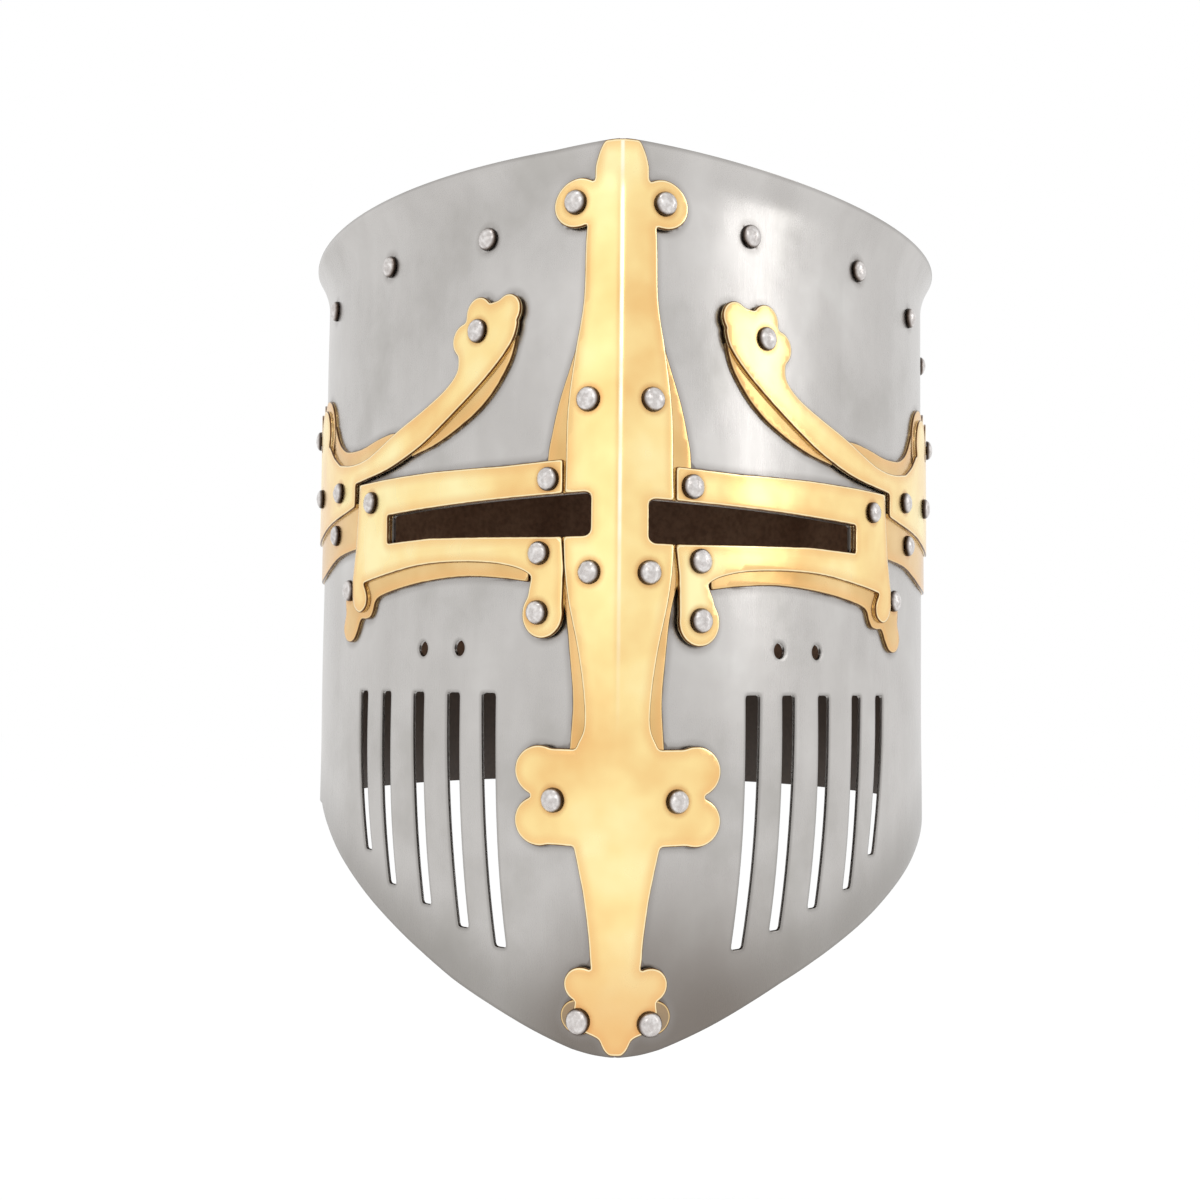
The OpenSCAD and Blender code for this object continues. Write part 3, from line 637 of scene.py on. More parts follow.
# The first of these is a painted reflection: a warmer tone near each outline.
# The second is a ring of tarnish round each rivet, laid darker with painted shade.
EDGE_WARM_REFLECTION, SEAT_TARNISH_AND_SHADE = (0.6, 4.2, 0.52, "#EDB878"), (3.4, 5.6, 0.7, "#C98F55")
# A pale painted highlight along the ridge of the keel.
RIDGE_PAINTED_HIGHLIGHT, RIDGE_CORE, RIDGE_SIDE, RIDGE_LOW, RIDGE_HIGH = "#FFFBE6", 0.0002, 0.0008, 0.09, 0.16
# The first two of these set where painted shade darkens the brass low down.
LOW_SHADE_FULL, LOW_SHADE_NONE, BEVEL_FULL, BEVEL_NONE = 0.006, 0.045, 0.4, 0.75
BUFFED = [(0.29, "#F3C985"), (0.49, "#FDE29F"), (0.68, "#FFF2B8")]
# Along each outline: a dark line of tarnish laid darker with painted shade, then a pale painted highlight on the
# bevel.
BUFFED_LINE_AND_GLINT = [(0.0, "#67462A"), (0.1, "#93683D"), (0.2, "#F6DFA6"), (0.4, "#FFF5D0")]
# A darker, browner copy of the brass tones for the lower sheets: painted shade.
UNDER_SHADED_TONES = [(0.28, "#D3A769"), (0.5, "#E3BD80"), (0.7, "#F0D097")]
UNDER_SHADED_LINE_AND_GLINT = [(0.0, "#573C24"), (0.12, "#825D38"), (0.26, "#E6C68C"), (0.5, "#F3D69F")]


def brass(name, tones, bevel, low_tone, low_share):
    material, tree, place = new_finish(name)
    cloud = noise(tree, place, BRASS_CLOUD, 3.0)
    dent = noise(tree, place, BRASS_DENT, 1.0)
    rub = noise(tree, place, BRASS_RUB, 3.0)
    edge = reading(tree, "edge")
    spot = add(tree, "ShaderNodeSeparateXYZ", {0: place}).outputs
    # Painted reflection: a warmer tone near each outline.
    tint = wash(tree, edge, ramp(tree, cloud, tones), *EDGE_WARM_REFLECTION)
    # Round each rivet: a ring of tarnish, laid darker with painted shade.
    tint = wash(tree, reading(tree, "seat"), tint, *SEAT_TARNISH_AND_SHADE)
    # Painted highlight: a pale line along the ridge of the keel, broken by dents and faded out low down.
    ridge_glint = fade(tree, maths(tree, "ABSOLUTE", spot["X"]), RIDGE_CORE, RIDGE_SIDE, 1.0)
    broken = maths(tree, "MULTIPLY", spread(tree, spot["Z"], RIDGE_LOW, RIDGE_HIGH, 0.0, 1.4), dent)
    tint = blend(tree, maths(tree, "MULTIPLY", ridge_glint, broken), tint, RIDGE_PAINTED_HIGHLIGHT)
    # Painted shade: the brass is darkened low down, near the tip.
    low = maths(tree, "MULTIPLY", fade(tree, spot["Z"], LOW_SHADE_FULL, LOW_SHADE_NONE, 1.0), low_share)
    tint = blend(tree, low, tint, low_tone)
    ragged = noise(tree, place, RAGGED, 2.0)
    # The outline's dark line of tarnish and painted shade, and the pale painted highlight on the bevel.
    edge_line_and_glint = ramp(tree, maths(tree, "MULTIPLY_ADD", ragged, -0.25, edge), bevel)
    tint = blend(tree, fade(tree, edge, BEVEL_FULL, BEVEL_NONE, 1.0), tint, edge_line_and_glint)
    rough = spread(tree, cloud, 0.3, 0.7, 0.2, 0.3)
    return surface(material, tint, rough, [(dent, 0.4, 0.0003), (rub, 0.2, 0.00002)])


# The last two values give the painted shade low down.
BRASS_SKIN = brass("polished_brass", BUFFED, BUFFED_LINE_AND_GLINT, "#DFA467", 0.6)
# The lower sheets take the darker copy of the brass, which is painted shade.
UNDER_SKIN = brass("shaded_under_brass", UNDER_SHADED_TONES, UNDER_SHADED_LINE_AND_GLINT, "#8B7C6A", 0.9)
print(BRASS_SKIN.name, UNDER_SKIN.name)

# %% [markdown]
# ## Hammered rivet steel, leather and washer iron
#
# A rivet head is bright where the hammer struck it last, and dark at its foot where it meets the sheet, which is
# patina laid darker with painted shade. The leather is oak-tanned strap, oiled dark, with a fine pebble grain, and
# the same recipe with other tones and a finer grain gives rawhide and waxed thread.

# %% Rivet steel, leather and iron
BLOW, LEATHER_CLOUD, WASHER_SPOT = 1 / 700, 0.02, 0.0018
HAMMERED = [(0.3, "#C2BCB9"), (0.5, "#D0CBC8"), (0.65, "#E4E0DE")]
# The dark foot of each head, where it meets the sheet: patina, laid darker with painted shade.
HEAD_FOOT_PATINA_AND_SHADE = [(0.0, "#33291F"), (0.25, "#574C44"), (0.42, "#B0A8A3"), (0.6, "#FFFFFF")]
PUNCHED = [(0.35, "#6E625A"), (0.55, "#8F8781"), (0.7, "#A39D98")]


def rivet_steel():
    material, tree, place = new_finish("hammered_rivet_steel")
    blow = noise(tree, place, BLOW, 2.0)
    # Patina and painted shade at the foot of the head.
    corner = ramp(tree, reading(tree, "edge"), HEAD_FOOT_PATINA_AND_SHADE)
    tint = blend(tree, 1.0, ramp(tree, blow, HAMMERED), corner, "MULTIPLY")
    return surface(material, tint, spread(tree, blow, 0.0, 1.0, 0.2, 0.38), [(blow, 0.35, 0.0004)])


def leather(name, tones, pebble_size):
    material, tree, place = new_finish(name)
    pebble = add(tree, "ShaderNodeTexVoronoi", {"Vector": place, "Scale": 1 / pebble_size}).outputs["Distance"]
    cloud = noise(tree, place, LEATHER_CLOUD, 4.0)
    rough = spread(tree, cloud, 0.0, 1.0, 0.42, 0.7)
    return surface(material, ramp(tree, cloud, tones), rough, [(pebble, 0.5, 0.0002), (cloud, 0.3, 0.0008)], 0.0)


def washer_iron():
    material, tree, place = new_finish("punched_washer_iron")
    spot = noise(tree, place, WASHER_SPOT, 3.0)
    rough = spread(tree, spot, 0.0, 1.0, 0.35, 0.55)
    return surface(material, ramp(tree, spot, PUNCHED), rough, [(spot, 0.4, 0.0002)])


RIVET_SKIN = rivet_steel()
LEATHER_SKIN = leather("oiled_strap_leather", [(0.3, "#3A2316"), (0.55, "#56351F"), (0.8, "#6E4629")], 0.0012)
LACE_SKIN = leather("rawhide_lace", [(0.3, "#7A5A3A"), (0.55, "#967350"), (0.8, "#AD8B66")], 0.0006)
THREAD_SKIN = leather("waxed_linen_thread", [(0.3, "#B29B74"), (0.55, "#C8B48F"), (0.8, "#D8C8A8")], 0.0004)
WASHER_SKIN = washer_iron()
print(RIVET_SKIN.name, LEATHER_SKIN.name, LACE_SKIN.name, THREAD_SKIN.name, WASHER_SKIN.name)


# %% Put a piece in service
def wear(obj, slot, nodes, *skins):
    """Gives a piece its finishes and its body, and hides the construction nodes that it stands for. Its slot is not
    used.
    """
    for skin in skins:
        obj.data.materials.append(skin)
    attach(obj, BODY)
    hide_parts(*nodes)
    return obj


# %% [markdown]
# ## The steel plates
#
# The two front plates meet at the keel, under the brass bar, and run to behind the ears. Their lower edge is
# what a level saw cut through the side view would leave, which is why it swoops. The eye and breath slits are
# holes in the flat outline, cut before the sheet is bent, just as an armourer pierces it.

# %% Front plates
LAP_START, LAP_END = 196.0, 214.0
EDGE_SLOPE = math.tan(math.radians(25))
SIGHT_TOP = 153 + 12.5 / 2
SIGHT = [(9.4, SIGHT_TOP - 0.8), (10.9, SIGHT_TOP), (56, SIGHT_TOP - 0.3), (96, SIGHT_TOP - 0.8),
         (96, SIGHT_TOP - 9.8), (72, SIGHT_TOP - 9.8), (43, SIGHT_TOP - 11.2), (21.4, SIGHT_TOP - 12.3),
         (10.9, SIGHT_TOP - 12.5), (9.4, SIGHT_TOP - 11.5)]
BREATHS = [(46, 27), (61.5, 31), (79, 36), (98, 40), (114, 49.5)]
BREATH_TOP, BREATH_WIDTH, BREATH_FOOT, BREATH_LEAN, BREATH_CURVE = 101.5, 6.0, 4.8, 6.0, 2.5
LACE_HOLES, LACE_HOLE, LACE_HEIGHT = [59, 77], 5.0, 115.0
NOSE_DROP = [(0, 1.5), (4, 1.5), (8, 1.7), (14, 1.9), (30, 1.4), (45, 0.8), (75, 0)]
EDGE_TILT, RIM_RISE, RIGHT_DROP, RIGHT_SHIFT = 0.045, 2.6, 2.0, 1.7
RISE_START, RISE_LENGTH, TILT_START = 20, 175, 60
PLATE_STEP, PLATE_FILED = 0.9, 0.3
SIDES = [(-1, "left", 0, 0), (1, "right", RIGHT_DROP, RIGHT_SHIFT)]


def moved(shape, drop):
    return [(p[0], p[1] - drop) for p in shape]


def mirrored(shape):
    return [(-p[0], p[1]) for p in shape]


def breath(s, foot):
    rows = [(s - BREATH_LEAN * t ** BREATH_CURVE, BREATH_TOP + (foot - BREATH_TOP) * t,
             (BREATH_WIDTH + (BREATH_FOOT - BREATH_WIDTH) * t) / 2) for t in np.linspace(0, 1, 13)]
    return [(c + w, z) for c, z, w in rows] + [(c - w, z) for c, z, w in rows[::-1]]


def lower_edge(s, cut_lower):
    """The level cut's edge, with how far the smith strayed below it."""
    z = np.zeros_like(s)
    for _ in range(8):
        z = np.clip((plan_at(s, z)[1] - TIP_Y) * EDGE_SLOPE - cut_lower, 0.05, REAR_EDGE)
    return z


def front_outline(side):
    """Half of the face, with the smith's own unevenness: the left rim rises, and the edge is cut off level."""
    s = np.linspace(GAP / 2, LAP_END, 215)
    nose = np.interp(s, *zip(*NOSE_DROP))
    rise = RIM_RISE * np.sin(np.clip((s - RISE_START) / RISE_LENGTH, 0, 1) * math.pi) if side < 0 else 0 * s
    rim = list(zip(s, RIM + rise))
    return [*zip(s, lower_edge(s, nose + side * EDGE_TILT * np.maximum(0, s - TILT_START))), *rim[::-1]]


def lace_hole(s):
    turn = np.arange(32) * math.pi / 16
    return [(s + LACE_HOLE / 2 * math.cos(a), LACE_HEIGHT + LACE_HOLE / 2 * math.sin(a)) for a in turn]


for side, name, drop, shift in SIDES:
    holes = [moved(SIGHT, drop), *[breath(s + shift, foot) for s, foot in BREATHS],
             *[lace_hole(s) for s in LACE_HOLES]]
    loops = [even(loop, PLATE_STEP, int(area(loop) < 0)) for loop in loops_of([front_outline(side)], holes)]
    piece = sheet_metal(f"front_plate_{name}_steel", loops, -STEEL, 0, GRID, PLATE_FILED, side,
                        columns=KEEL_COLUMNS, inner_slot=1)
    places = np.abs(SPREAD[piece.name])
    mark(piece, "above", places[:, 1] - lower_edge(places[:, 0], 0))
    wear(piece, "steel", [f"front_plate_{name}"], STEEL_SKIN, INNER_SKIN)

# %% Back plate
back_outline = [(LAP_START, REAR_EDGE), (2 * HALF_GIRTH - LAP_START, REAR_EDGE),
                (2 * HALF_GIRTH - LAP_START, RIM), (LAP_START, RIM)]
wear(sheet_metal("back_plate_steel", [even(np.array(back_outline), 1.3)], -STEEL - SHEET, -SHEET, WIDE_GRID,
                 FILED, inner_slot=1), "steel", ["back_plate"], STEEL_SKIN, INNER_SKIN)

# %% [markdown]
# ## The crown
#
# The top plate is a dished oval with its edge turned down, riveted inside the wall a little below the rim. Each
# ring of the dish is the wall's own plan drawn in toward the middle, so the keel fades out as it climbs.

# %% Top plate
CROWN_EDGE, CROWN_TOP, FLANGE, DOME_POWER = 248.0, 288.0, 26.0, 2.4
CROWN_BEND, BEND_SINK, SINK_FADE, BEND_TUCK, TUCK_FADE = 2.2, 0.4, 90, 0.002, 60
RING_CROWDING = 1.25
ROUND_THE_HELM = np.linspace(-HALF_GIRTH, HALF_GIRTH, 361)[1:]
DOME_CENTRE = np.array([0, CENTRE_Y + (BACK_DEPTH - FRONT_DEPTH) / 2])
RAMP_START, RAMP_END = LAP_START - 16, LAP_START - 6


def wall_depth(s):
    return SHEET * (1 + np.clip((np.abs(fold(s)) - RAMP_START) / (RAMP_END - RAMP_START), 0, 1))


def ring_at(s, depth, u, z):
    """A ring of the wall's plan at a depth, drawn toward the middle of the crown by u."""
    p = wall(s, np.minimum(z, FLARE_START - 5), -wall_depth(s) - depth, flared=False)
    p[..., :2] = DOME_CENTRE + (p[..., :2] - DOME_CENTRE) * u
    p[..., 2] = z
    return p


def ring_skin(rings, whole=False):
    """Vertices and faces of a skin over closed rings. whole joins the last ring to the first as well."""
    count, total = len(rings[0]), len(rings) * len(rings[0])
    faces = []
    for r in range(len(rings) - (not whole)):
        for c in range(count):
            a, b = r * count + c, r * count + (c + 1) % count
            faces.append((a, b, (b + count) % total, (a + count) % total))
    return np.vstack(rings), faces


def together(skins):
    """One list of vertices and one of faces from several skins."""
    verts, faces = [], []
    for skin_verts, skin_faces in skins:
        faces += [tuple(i + len(verts) for i in face) for face in skin_faces]
        verts += list(skin_verts)
    return verts, faces


def top_plate():
    """The flange's rings, then the dome's, crowded toward the bend, on both faces of the steel."""
    outer, inner = [], []
    for z in np.linspace(CROWN_EDGE - FLANGE, CROWN_EDGE - CROWN_BEND, 8):
        outer.append(ring_at(ROUND_THE_HELM, 0, 1, z))
        inner.append(ring_at(ROUND_THE_HELM, STEEL, 1, z))
    for u in 1 - np.linspace(0, 1, 44)[:-1] ** RING_CROWDING:
        z = (CROWN_EDGE + (CROWN_TOP - CROWN_EDGE) * (1 - u ** DOME_POWER)
             - CROWN_BEND * BEND_SINK * math.exp(-(1 - u) * SINK_FADE))
        drawn_to = u - BEND_TUCK * math.exp(-(1 - u) * TUCK_FADE)
        outer.append(ring_at(ROUND_THE_HELM, 0, drawn_to, z))
        inner.append(ring_at(ROUND_THE_HELM, STEEL, drawn_to, z - STEEL))
    rings = [*inner[::-1], *outer]
    verts, faces = ring_skin(rings)
    count = len(ROUND_THE_HELM)
    middle = [[*DOME_CENTRE, CROWN_TOP - STEEL], [*DOME_CENTRE, CROWN_TOP]]
    end = (len(rings) - 1) * count
    faces += [((c + 1) % count, c, len(verts)) for c in range(count)]
    faces += [(end + c, end + (c + 1) % count, len(verts) + 1) for c in range(count)]
    obj = mesh_object("top_plate_steel", np.vstack([verts, middle]), faces)
    give_slot(obj, 1, [*range((len(inner) - 1) * count), *range(end, end + count)])
    mark_plain(obj, FAR_OFF)
    return obj


top = wear(top_plate(), "steel", ["top_plate"], STEEL_SKIN, INNER_SKIN)
print("top plate", len(top.data.polygons), "faces")

# %% [markdown]
# ## The brass mounts
#
# Each mount is two sheets, a larger one below and a smaller above, so its outline reads as a double line. The
# shapes are drawn as lobes, strips and curves in the view in which each looks true, and the union turns them into
# one sheet.

# %% Keel mount
BAR_SIDE = smooth([(4.8, RIM + 2), (5.8, RIM - 0.8), (7.2, RIM - 3), (8.6, RIM - 7), (8.8, RIM - 11),
                   (11.3, RIM - 25), (12, 215), (14.6, 200), (17, 183), (17.4, 165), (17.8, 145), (16.4, 130),
                   (12.8, 114), (10.8, 101), (10.6, 92), (13, 86.5), (15, 80)])
FOOT_SIDE = smooth([(14, 58.5), (10.8, 45), (9, 33), (8.2, 25), (6, 15), (5.4, 7.2)])
HEAD_LOBES = [(-14.5, RIM - 16.2, 7.2), (13.7, RIM - 16.8, 7.2)]
BAR_LOBES = [(26, 79.4, 7.4), (26.2, 65, 7.2), (11, 20, 5)]
ARM_END = [(26, 86), (30, 79), (29, 72), (30, 65), (26, 58.4)]
TIP_SIDE = [(9, 19), (13.2, 15), (13.6, 11), (12.4, 7.8), (9.6, 6.8), (7, 6), (5.4, 5.2), (4.6, 3.6), (3.6, 2.2),
            (2.2, 1.3), (0.8, 1.0)]
EAR = (12, 10.8, 5)
LEFT_FULLER = 1.035
UNDER_SIDE = smooth([(11, 211), (16.3, 196), (19.8, 186.5), (22.3, 177), (23.7, 168), (23.7, 142), (19.5, 134),
                     (16.8, 124), (15.4, 112), (14.3, 100), (14.8, 90), (15.4, 82)])


def from_keel(points):
    """One side's outline, closed a little way past the keel."""
    return [(-2, points[0][1]), *points, (-2, points[-1][1])]


def below_rim(shape):
    return [(p[0], min(p[1], RIM - 0.7)) for p in shape]


def fuller(points):
    """The left-hand half was cut a little wider than the right."""
    return [(s * LEFT_FULLER, z) for s, z in points]


def bar_shapes():
    """The upper sheet on the keel: its right half, the mirrored half, and the lobes of each."""
    half = [from_keel(BAR_SIDE), from_keel(ARM_END), from_keel([(14, 62), *FOOT_SIDE]), from_keel(TIP_SIDE)]
    shapes = [below_rim(mirrored(from_keel(fuller(BAR_SIDE))))]
    for shape in half:
        shapes += [below_rim(shape), below_rim(mirrored(shape))]
    for lobe in discs(BAR_LOBES, 0):
        shapes += [lobe, mirrored(lobe)]
    return [*shapes, *discs(HEAD_LOBES, 0)]


def cut_out(shapes, holes=()):
    """The loops of a mount's sheet, as shears, saw and file leave them."""
    return [even(loop, SAW_STEP) for loop in loops_of(shapes, holes)]


def tucked(shapes):
    """The upper sheet's outline moved in, for the lower sheet's own to overlap."""
    return [inset(loop, TUCK) for loop in loops_of(shapes)]


OUTLINES = []
SAW_STEP, TUCK = 0.8, 0.8


def mount_pair(upper_node, lower_node, upper, lower, side=1, drop=0.0, **more):
    """Both sheets of a mount. Where their outlines lie on the wall is kept, for the dirt and painted shade round
    them.
    """
    for node, loops, low, high, skin in ((upper_node, upper, UPPER_LOW, UPPER_HIGH, BRASS_SKIN),
                                         (lower_node, lower, UNDER_LOW, UNDER_HIGH, UNDER_SKIN)):
        piece = sheet_metal(f"{node}_brass", loops, low, high, GRID, FILED, side, drop, **more)
        wear(piece, "brass", [node], skin)
        for s, z in (loop.T for loop in loops):
            if "view" in more:
                s = as_drawn(s, z, high, more["view"])
            OUTLINES.append(np.stack([s * side, z - drop], 1))


keel_slits = [moved(SIGHT, RIGHT_DROP), mirrored(SIGHT)]
under = [from_keel(UNDER_SIDE), mirrored(from_keel(fuller(UNDER_SIDE))), disc(*EAR, 0), mirrored(disc(*EAR, 0))]
mount_pair("keel_bar", "keel_backing", cut_out(bar_shapes(), keel_slits),
           cut_out([*tucked(bar_shapes()), *under], keel_slits),
           columns=sorted({c * side for c in KEEL_COLUMNS for side in (-1, 1)}), view=0)

# %% Eye frames
FRAME_ANGLE = 38
FRAME_START, TAIL_LEAN = 17.1, 1.2
FRAME_OUTER = [(116.8, 170.8), (117.1, 162), (118.7, 148.5), (121, 138.5)]
FRAME_LOWER = [(112, 137.2), (98, 139), (78, 141), (60, 141.2), (43, 140), (33, 137.9), (28.4, 135.6)]
FRAME_LEAF = [(121, 138.5), (121.2, 134), (119, 129.5), (114.6, 127.5), (110.2, 129.4), (109.4, 133), (112, 137.2)]
STRIP_LOWER = [(30, 134), (41, 135.5), (57, 136.6), (76, 135.8), (92, 134), (103.5, 131.8), (106, 128.5)]
LEAF_EDGE = [(106, 128.5), (108, 126), (111.5, 125.2), (115.5, 125.2), (118, 121.8), (121, 118.8), (124.6, 117.8),
             (128.6, 118.8), (131, 122), (130.2, 125.4), (129, 127.6), (129.6, 131), (128.8, 135), (125, 138.2),
             (121, 140)]


def frame_shapes(start, lean):
    """The frame's outline from its edge beside the bar. lean brings the tail nearer the keel."""
    edge = [(start, 169.3), (40, 169.1), (70, 170.2), (96, 170.6), *FRAME_OUTER, *smooth(FRAME_LEAF),
            *smooth(FRAME_LOWER), (30.6 - lean, 131), (31.6 - lean, 124.6), (18.6 - lean, 124.6), (18.2 - lean, 138),
            (start, 146)]
    return [edge, disc(25.6 - lean, 124.6, 7.2, FRAME_ANGLE)]


def clear_of_keel(shape_list, keel_side):
    """What of the shapes lies outside the lower keel sheet and its clearance."""
    edge = [(p[0] + 0.5, p[1]) for p in keel_side]
    keep_out = [(-30, edge[0][1]), *edge, (-30, edge[-1][1])]
    return loops_of(shape_list, [keep_out])


strip = [(30, 142), *smooth(STRIP_LOWER), *smooth(LEAF_EDGE), (116, 142)]
for side, name, drop, _ in SIDES:
    fullness = LEFT_FULLER if side < 0 else 1
    shapes = frame_shapes(FRAME_START * fullness, TAIL_LEAN if side < 0 else 0)
    under = clear_of_keel([*tucked(shapes), strip], [(s * fullness, z) for s, z in UNDER_SIDE])
    under = [loop for loop in under if area(loop) > 0]
    mount_pair(f"eye_frame_{name}", f"frame_backing_{name}", cut_out(shapes, [SIGHT]), cut_out(under, [SIGHT]),
               side, drop)

# %% Side mounts
HORN_ANGLE, HUB_ANGLE = 30, 78
HORN_LOBES = [(38.6, 216, 5), (50.8, 216.7, 5.3), (56.7, 209.5, 5.3)]
HORN_HEAD = [(35, 212.5), (38.6, 220), (46.2, 219.3), (52, 221), (58, 213), (60, 205), (46, 202), (40, 203)]
HORN_INNER = smooth([(34.6, 212), (36.6, 206.5), (43.5, 199.5), (54.5, 191.5), (68, 183.5), (80, 178),
                     (97.5, 173.4), (120.4, 171.4)])
HORN_OUTER = smooth([(59.5, 205), (60, 200), (66, 195), (77, 190.2), (90, 185.8), (104, 180.9), (113, 178.9),
                     (124, 178.5), (136, 180)])
SPLIT, FLEUR_END, PETAL_GROW = 72, 208, 3.6
HUB_LOWER = smooth([(120.4, 163.6), (130, 162), (150, 159.5), (165, 156.8), (180, 155.6), (195, 156.8),
                    (FLEUR_END, 159.5)])
PETALS = [(160.5, 194, 9.4), (180, 196.2, 9.2), (198.4, 194, 9.4)]
CRESCENT = smooth([(35.6, 208.5), (38, 201), (44.4, 192.6), (52, 186.6), (62, 181.8), (72, 178.4), (84, 176.3)])
LIP = smooth([(88, 184.6), (95, 185.6), (105, 184.9), (118, 183.4), (130, 184), (137, 186.4), (142, 190),
              (147, 196)])
BAND_LOWER = smooth([(118.9, 149.2), (137, 147.7), (151, 144.6), (163, 142.2), (180, 141.4), (FLEUR_END, 142.2)])


def fleur_shapes():
    """The upper sheet at the temple: a horn toward the brow, an arm, and a hub with three petals at the ear."""
    horn = [*[p for p in HORN_INNER if p[0] < SPLIT], *[p for p in HORN_OUTER if p[0] < SPLIT][::-1], (50, 212)]
    arm = [*[p for p in HORN_INNER if p[0] > SPLIT - 12], (130, 171.4),
           *[p for p in HORN_OUTER if p[0] > SPLIT - 12][::-1]]
    hub = [*HUB_LOWER, (FLEUR_END, 186), (203, 190), (156, 190), (150.4, 188.4), (144, 183.8), (136, 180),
           (130, 178.7), (120.4, 178.4)]
    return [horn, HORN_HEAD, arm, hub, *discs(HORN_LOBES, HORN_ANGLE), *discs(PETALS, HUB_ANGLE)]


def backing_shapes():
    """The lower sheet there: a crescent under the horn, a lip over the arm, a band and the petals grown."""
    crescent = [*CRESCENT, (84, 181), (60, 193), (45, 204)]
    lip = [*LIP, (147, 180), (120, 176), (90, 182)]
    band = [*BAND_LOWER, (FLEUR_END, 165), (118, 165), (117.9, 156)]
    grown = loops_of([disc(s, z, r + PETAL_GROW, HUB_ANGLE) for s, z, r in PETALS],
                     [[(120, 100), (260, 100), (260, 180), (120, 180)],
                      [(FLEUR_END, 90), (260, 90), (260, 300), (FLEUR_END, 300)]])
    return [crescent, lip, band, *grown, *tucked(fleur_shapes())]


for side, name, drop, _ in SIDES:
    mount_pair(f"side_fleur_{name}", f"side_backing_{name}", cut_out(fleur_shapes()), cut_out(backing_shapes()),
               side, drop)

# %% [markdown]
# ## Rivets
#
# A rivet is one shape set again and again, and no two heads match, because each was closed by hand. Geometry
# Nodes suits that: the script gives the seats, and the tree sets a head, a shank and a hammered tail at each,
# with its own turn, a slightly different size, and noise for the hammer's blows.

# %% Helpers for the trees
def new_tree(name, sizes, seed):
    """A Geometry Nodes tree with a mesh in and out, a named input for each size, a seed and a material."""
    tree = bpy.data.node_groups.new(name, "GeometryNodeTree")
    for label, kind, value in [("Geometry", "Geometry", None), *[(label, "Float", v) for label, v in sizes.items()],
                               ("Seed", "Int", seed), ("Material", "Material", None)]:
        made = tree.interface.new_socket(label, in_out="INPUT", socket_type="NodeSocket" + kind)
        if value is not None:
            made.default_value = value
    tree.interface.new_socket("Geometry", in_out="OUTPUT", socket_type="NodeSocketGeometry")
    return tree, add(tree, "NodeGroupInput").outputs


def stored(tree, name, kind="FLOAT"):
    return add(tree, "GeometryNodeInputNamedAttribute", {"Name": name}, data_type=kind).outputs[0]


def scaled(tree, direction, amount):
    return add(tree, "ShaderNodeVectorMath", {0: direction, "Scale": amount}, operation="SCALE").outputs[0]


def pushed(tree, mesh, direction, amount):
    given = {"Geometry": mesh, "Offset": scaled(tree, direction, amount)}
    return add(tree, "GeometryNodeSetPosition", given).outputs[0]


def facing_to(tree, direction):
    return add(tree, "FunctionNodeAlignRotationToVector", {"Vector": direction}, axis="Z").outputs[0]


def by_hand(tree, turn, least, most, seed):
    """The same turn, and a chance one about the piece's own axis."""
    chance = add(tree, "FunctionNodeRandomValue", {"Min": least, "Max": most, "Seed": seed}, data_type="FLOAT")
    own = add(tree, "FunctionNodeAxisAngleToRotation", {"Axis": (0, 0, 1), "Angle": chance.outputs[1]}).outputs[0]
    return add(tree, "FunctionNodeRotateRotation", {"Rotation": turn, "Rotate By": own},
               rotation_space="LOCAL").outputs[0]


def set_on(tree, seats, shape, turn, **more):
    given = {"Points": seats, "Instance": shape, "Rotation": turn, **more}
    return add(tree, "GeometryNodeInstanceOnPoints", given).outputs[0]


def hand_out(tree, mesh, material):
    """Shades a mesh smooth, gives it its finish and sends it out of the tree."""
    shaded = add(tree, "GeometryNodeSetShadeSmooth", {"Geometry": mesh}).outputs[0]
    coated = add(tree, "GeometryNodeSetMaterial", {"Geometry": shaded, "Material": material})
    add(tree, "NodeGroupOutput", {0: coated.outputs[0]})


# %% Rivet tree
HEAD_WIDTH, HEAD_HEIGHT, SHANK, TAIL_WIDTH, TAIL_HEIGHT = 7.2, 2.6, 3.2, 5.0, 1.1
EAR_HEAD_HEIGHT = 2.3
HEAD_LEAST, HEAD_MOST = (0.98, 0.96, 0.88), (1.04, 1.03, 1.0)
BLOW_DEPTH, BLOWS_PER_METRE, BLOW_LEVEL = 0.5, 430.0, 0.62
HEAD_BULGE, TAIL_BULGE, FULL_TURN = 0.85, 0.9, 6.28


def dome(tree, width, height, bulge):
    """A round head from a sphere: its lower half is pressed flat, its upper half drawn to the height."""
    ball = add(tree, "GeometryNodeMeshUVSphere", {"Segments": 24, "Rings": 14, "Radius": 1.0}).outputs["Mesh"]
    place = add(tree, "ShaderNodeSeparateXYZ", {0: add(tree, "GeometryNodeInputPosition").outputs[0]}).outputs
    half = maths(tree, "MULTIPLY", width, 0.5)
    above = maths(tree, "MAXIMUM", place["Z"], 0.0)
    raised = maths(tree, "MULTIPLY", maths(tree, "POWER", above, bulge), height)
    marked = add(tree, "GeometryNodeStoreNamedAttribute", {"Geometry": ball, "Name": "edge", "Value": above},
                 data_type="FLOAT", domain="POINT").outputs[0]
    spot = add(tree, "ShaderNodeCombineXYZ", {"X": maths(tree, "MULTIPLY", place["X"], half),
                                              "Y": maths(tree, "MULTIPLY", place["Y"], half), "Z": raised})
    return add(tree, "GeometryNodeSetPosition", {"Geometry": marked, "Position": spot.outputs[0]}).outputs[0]


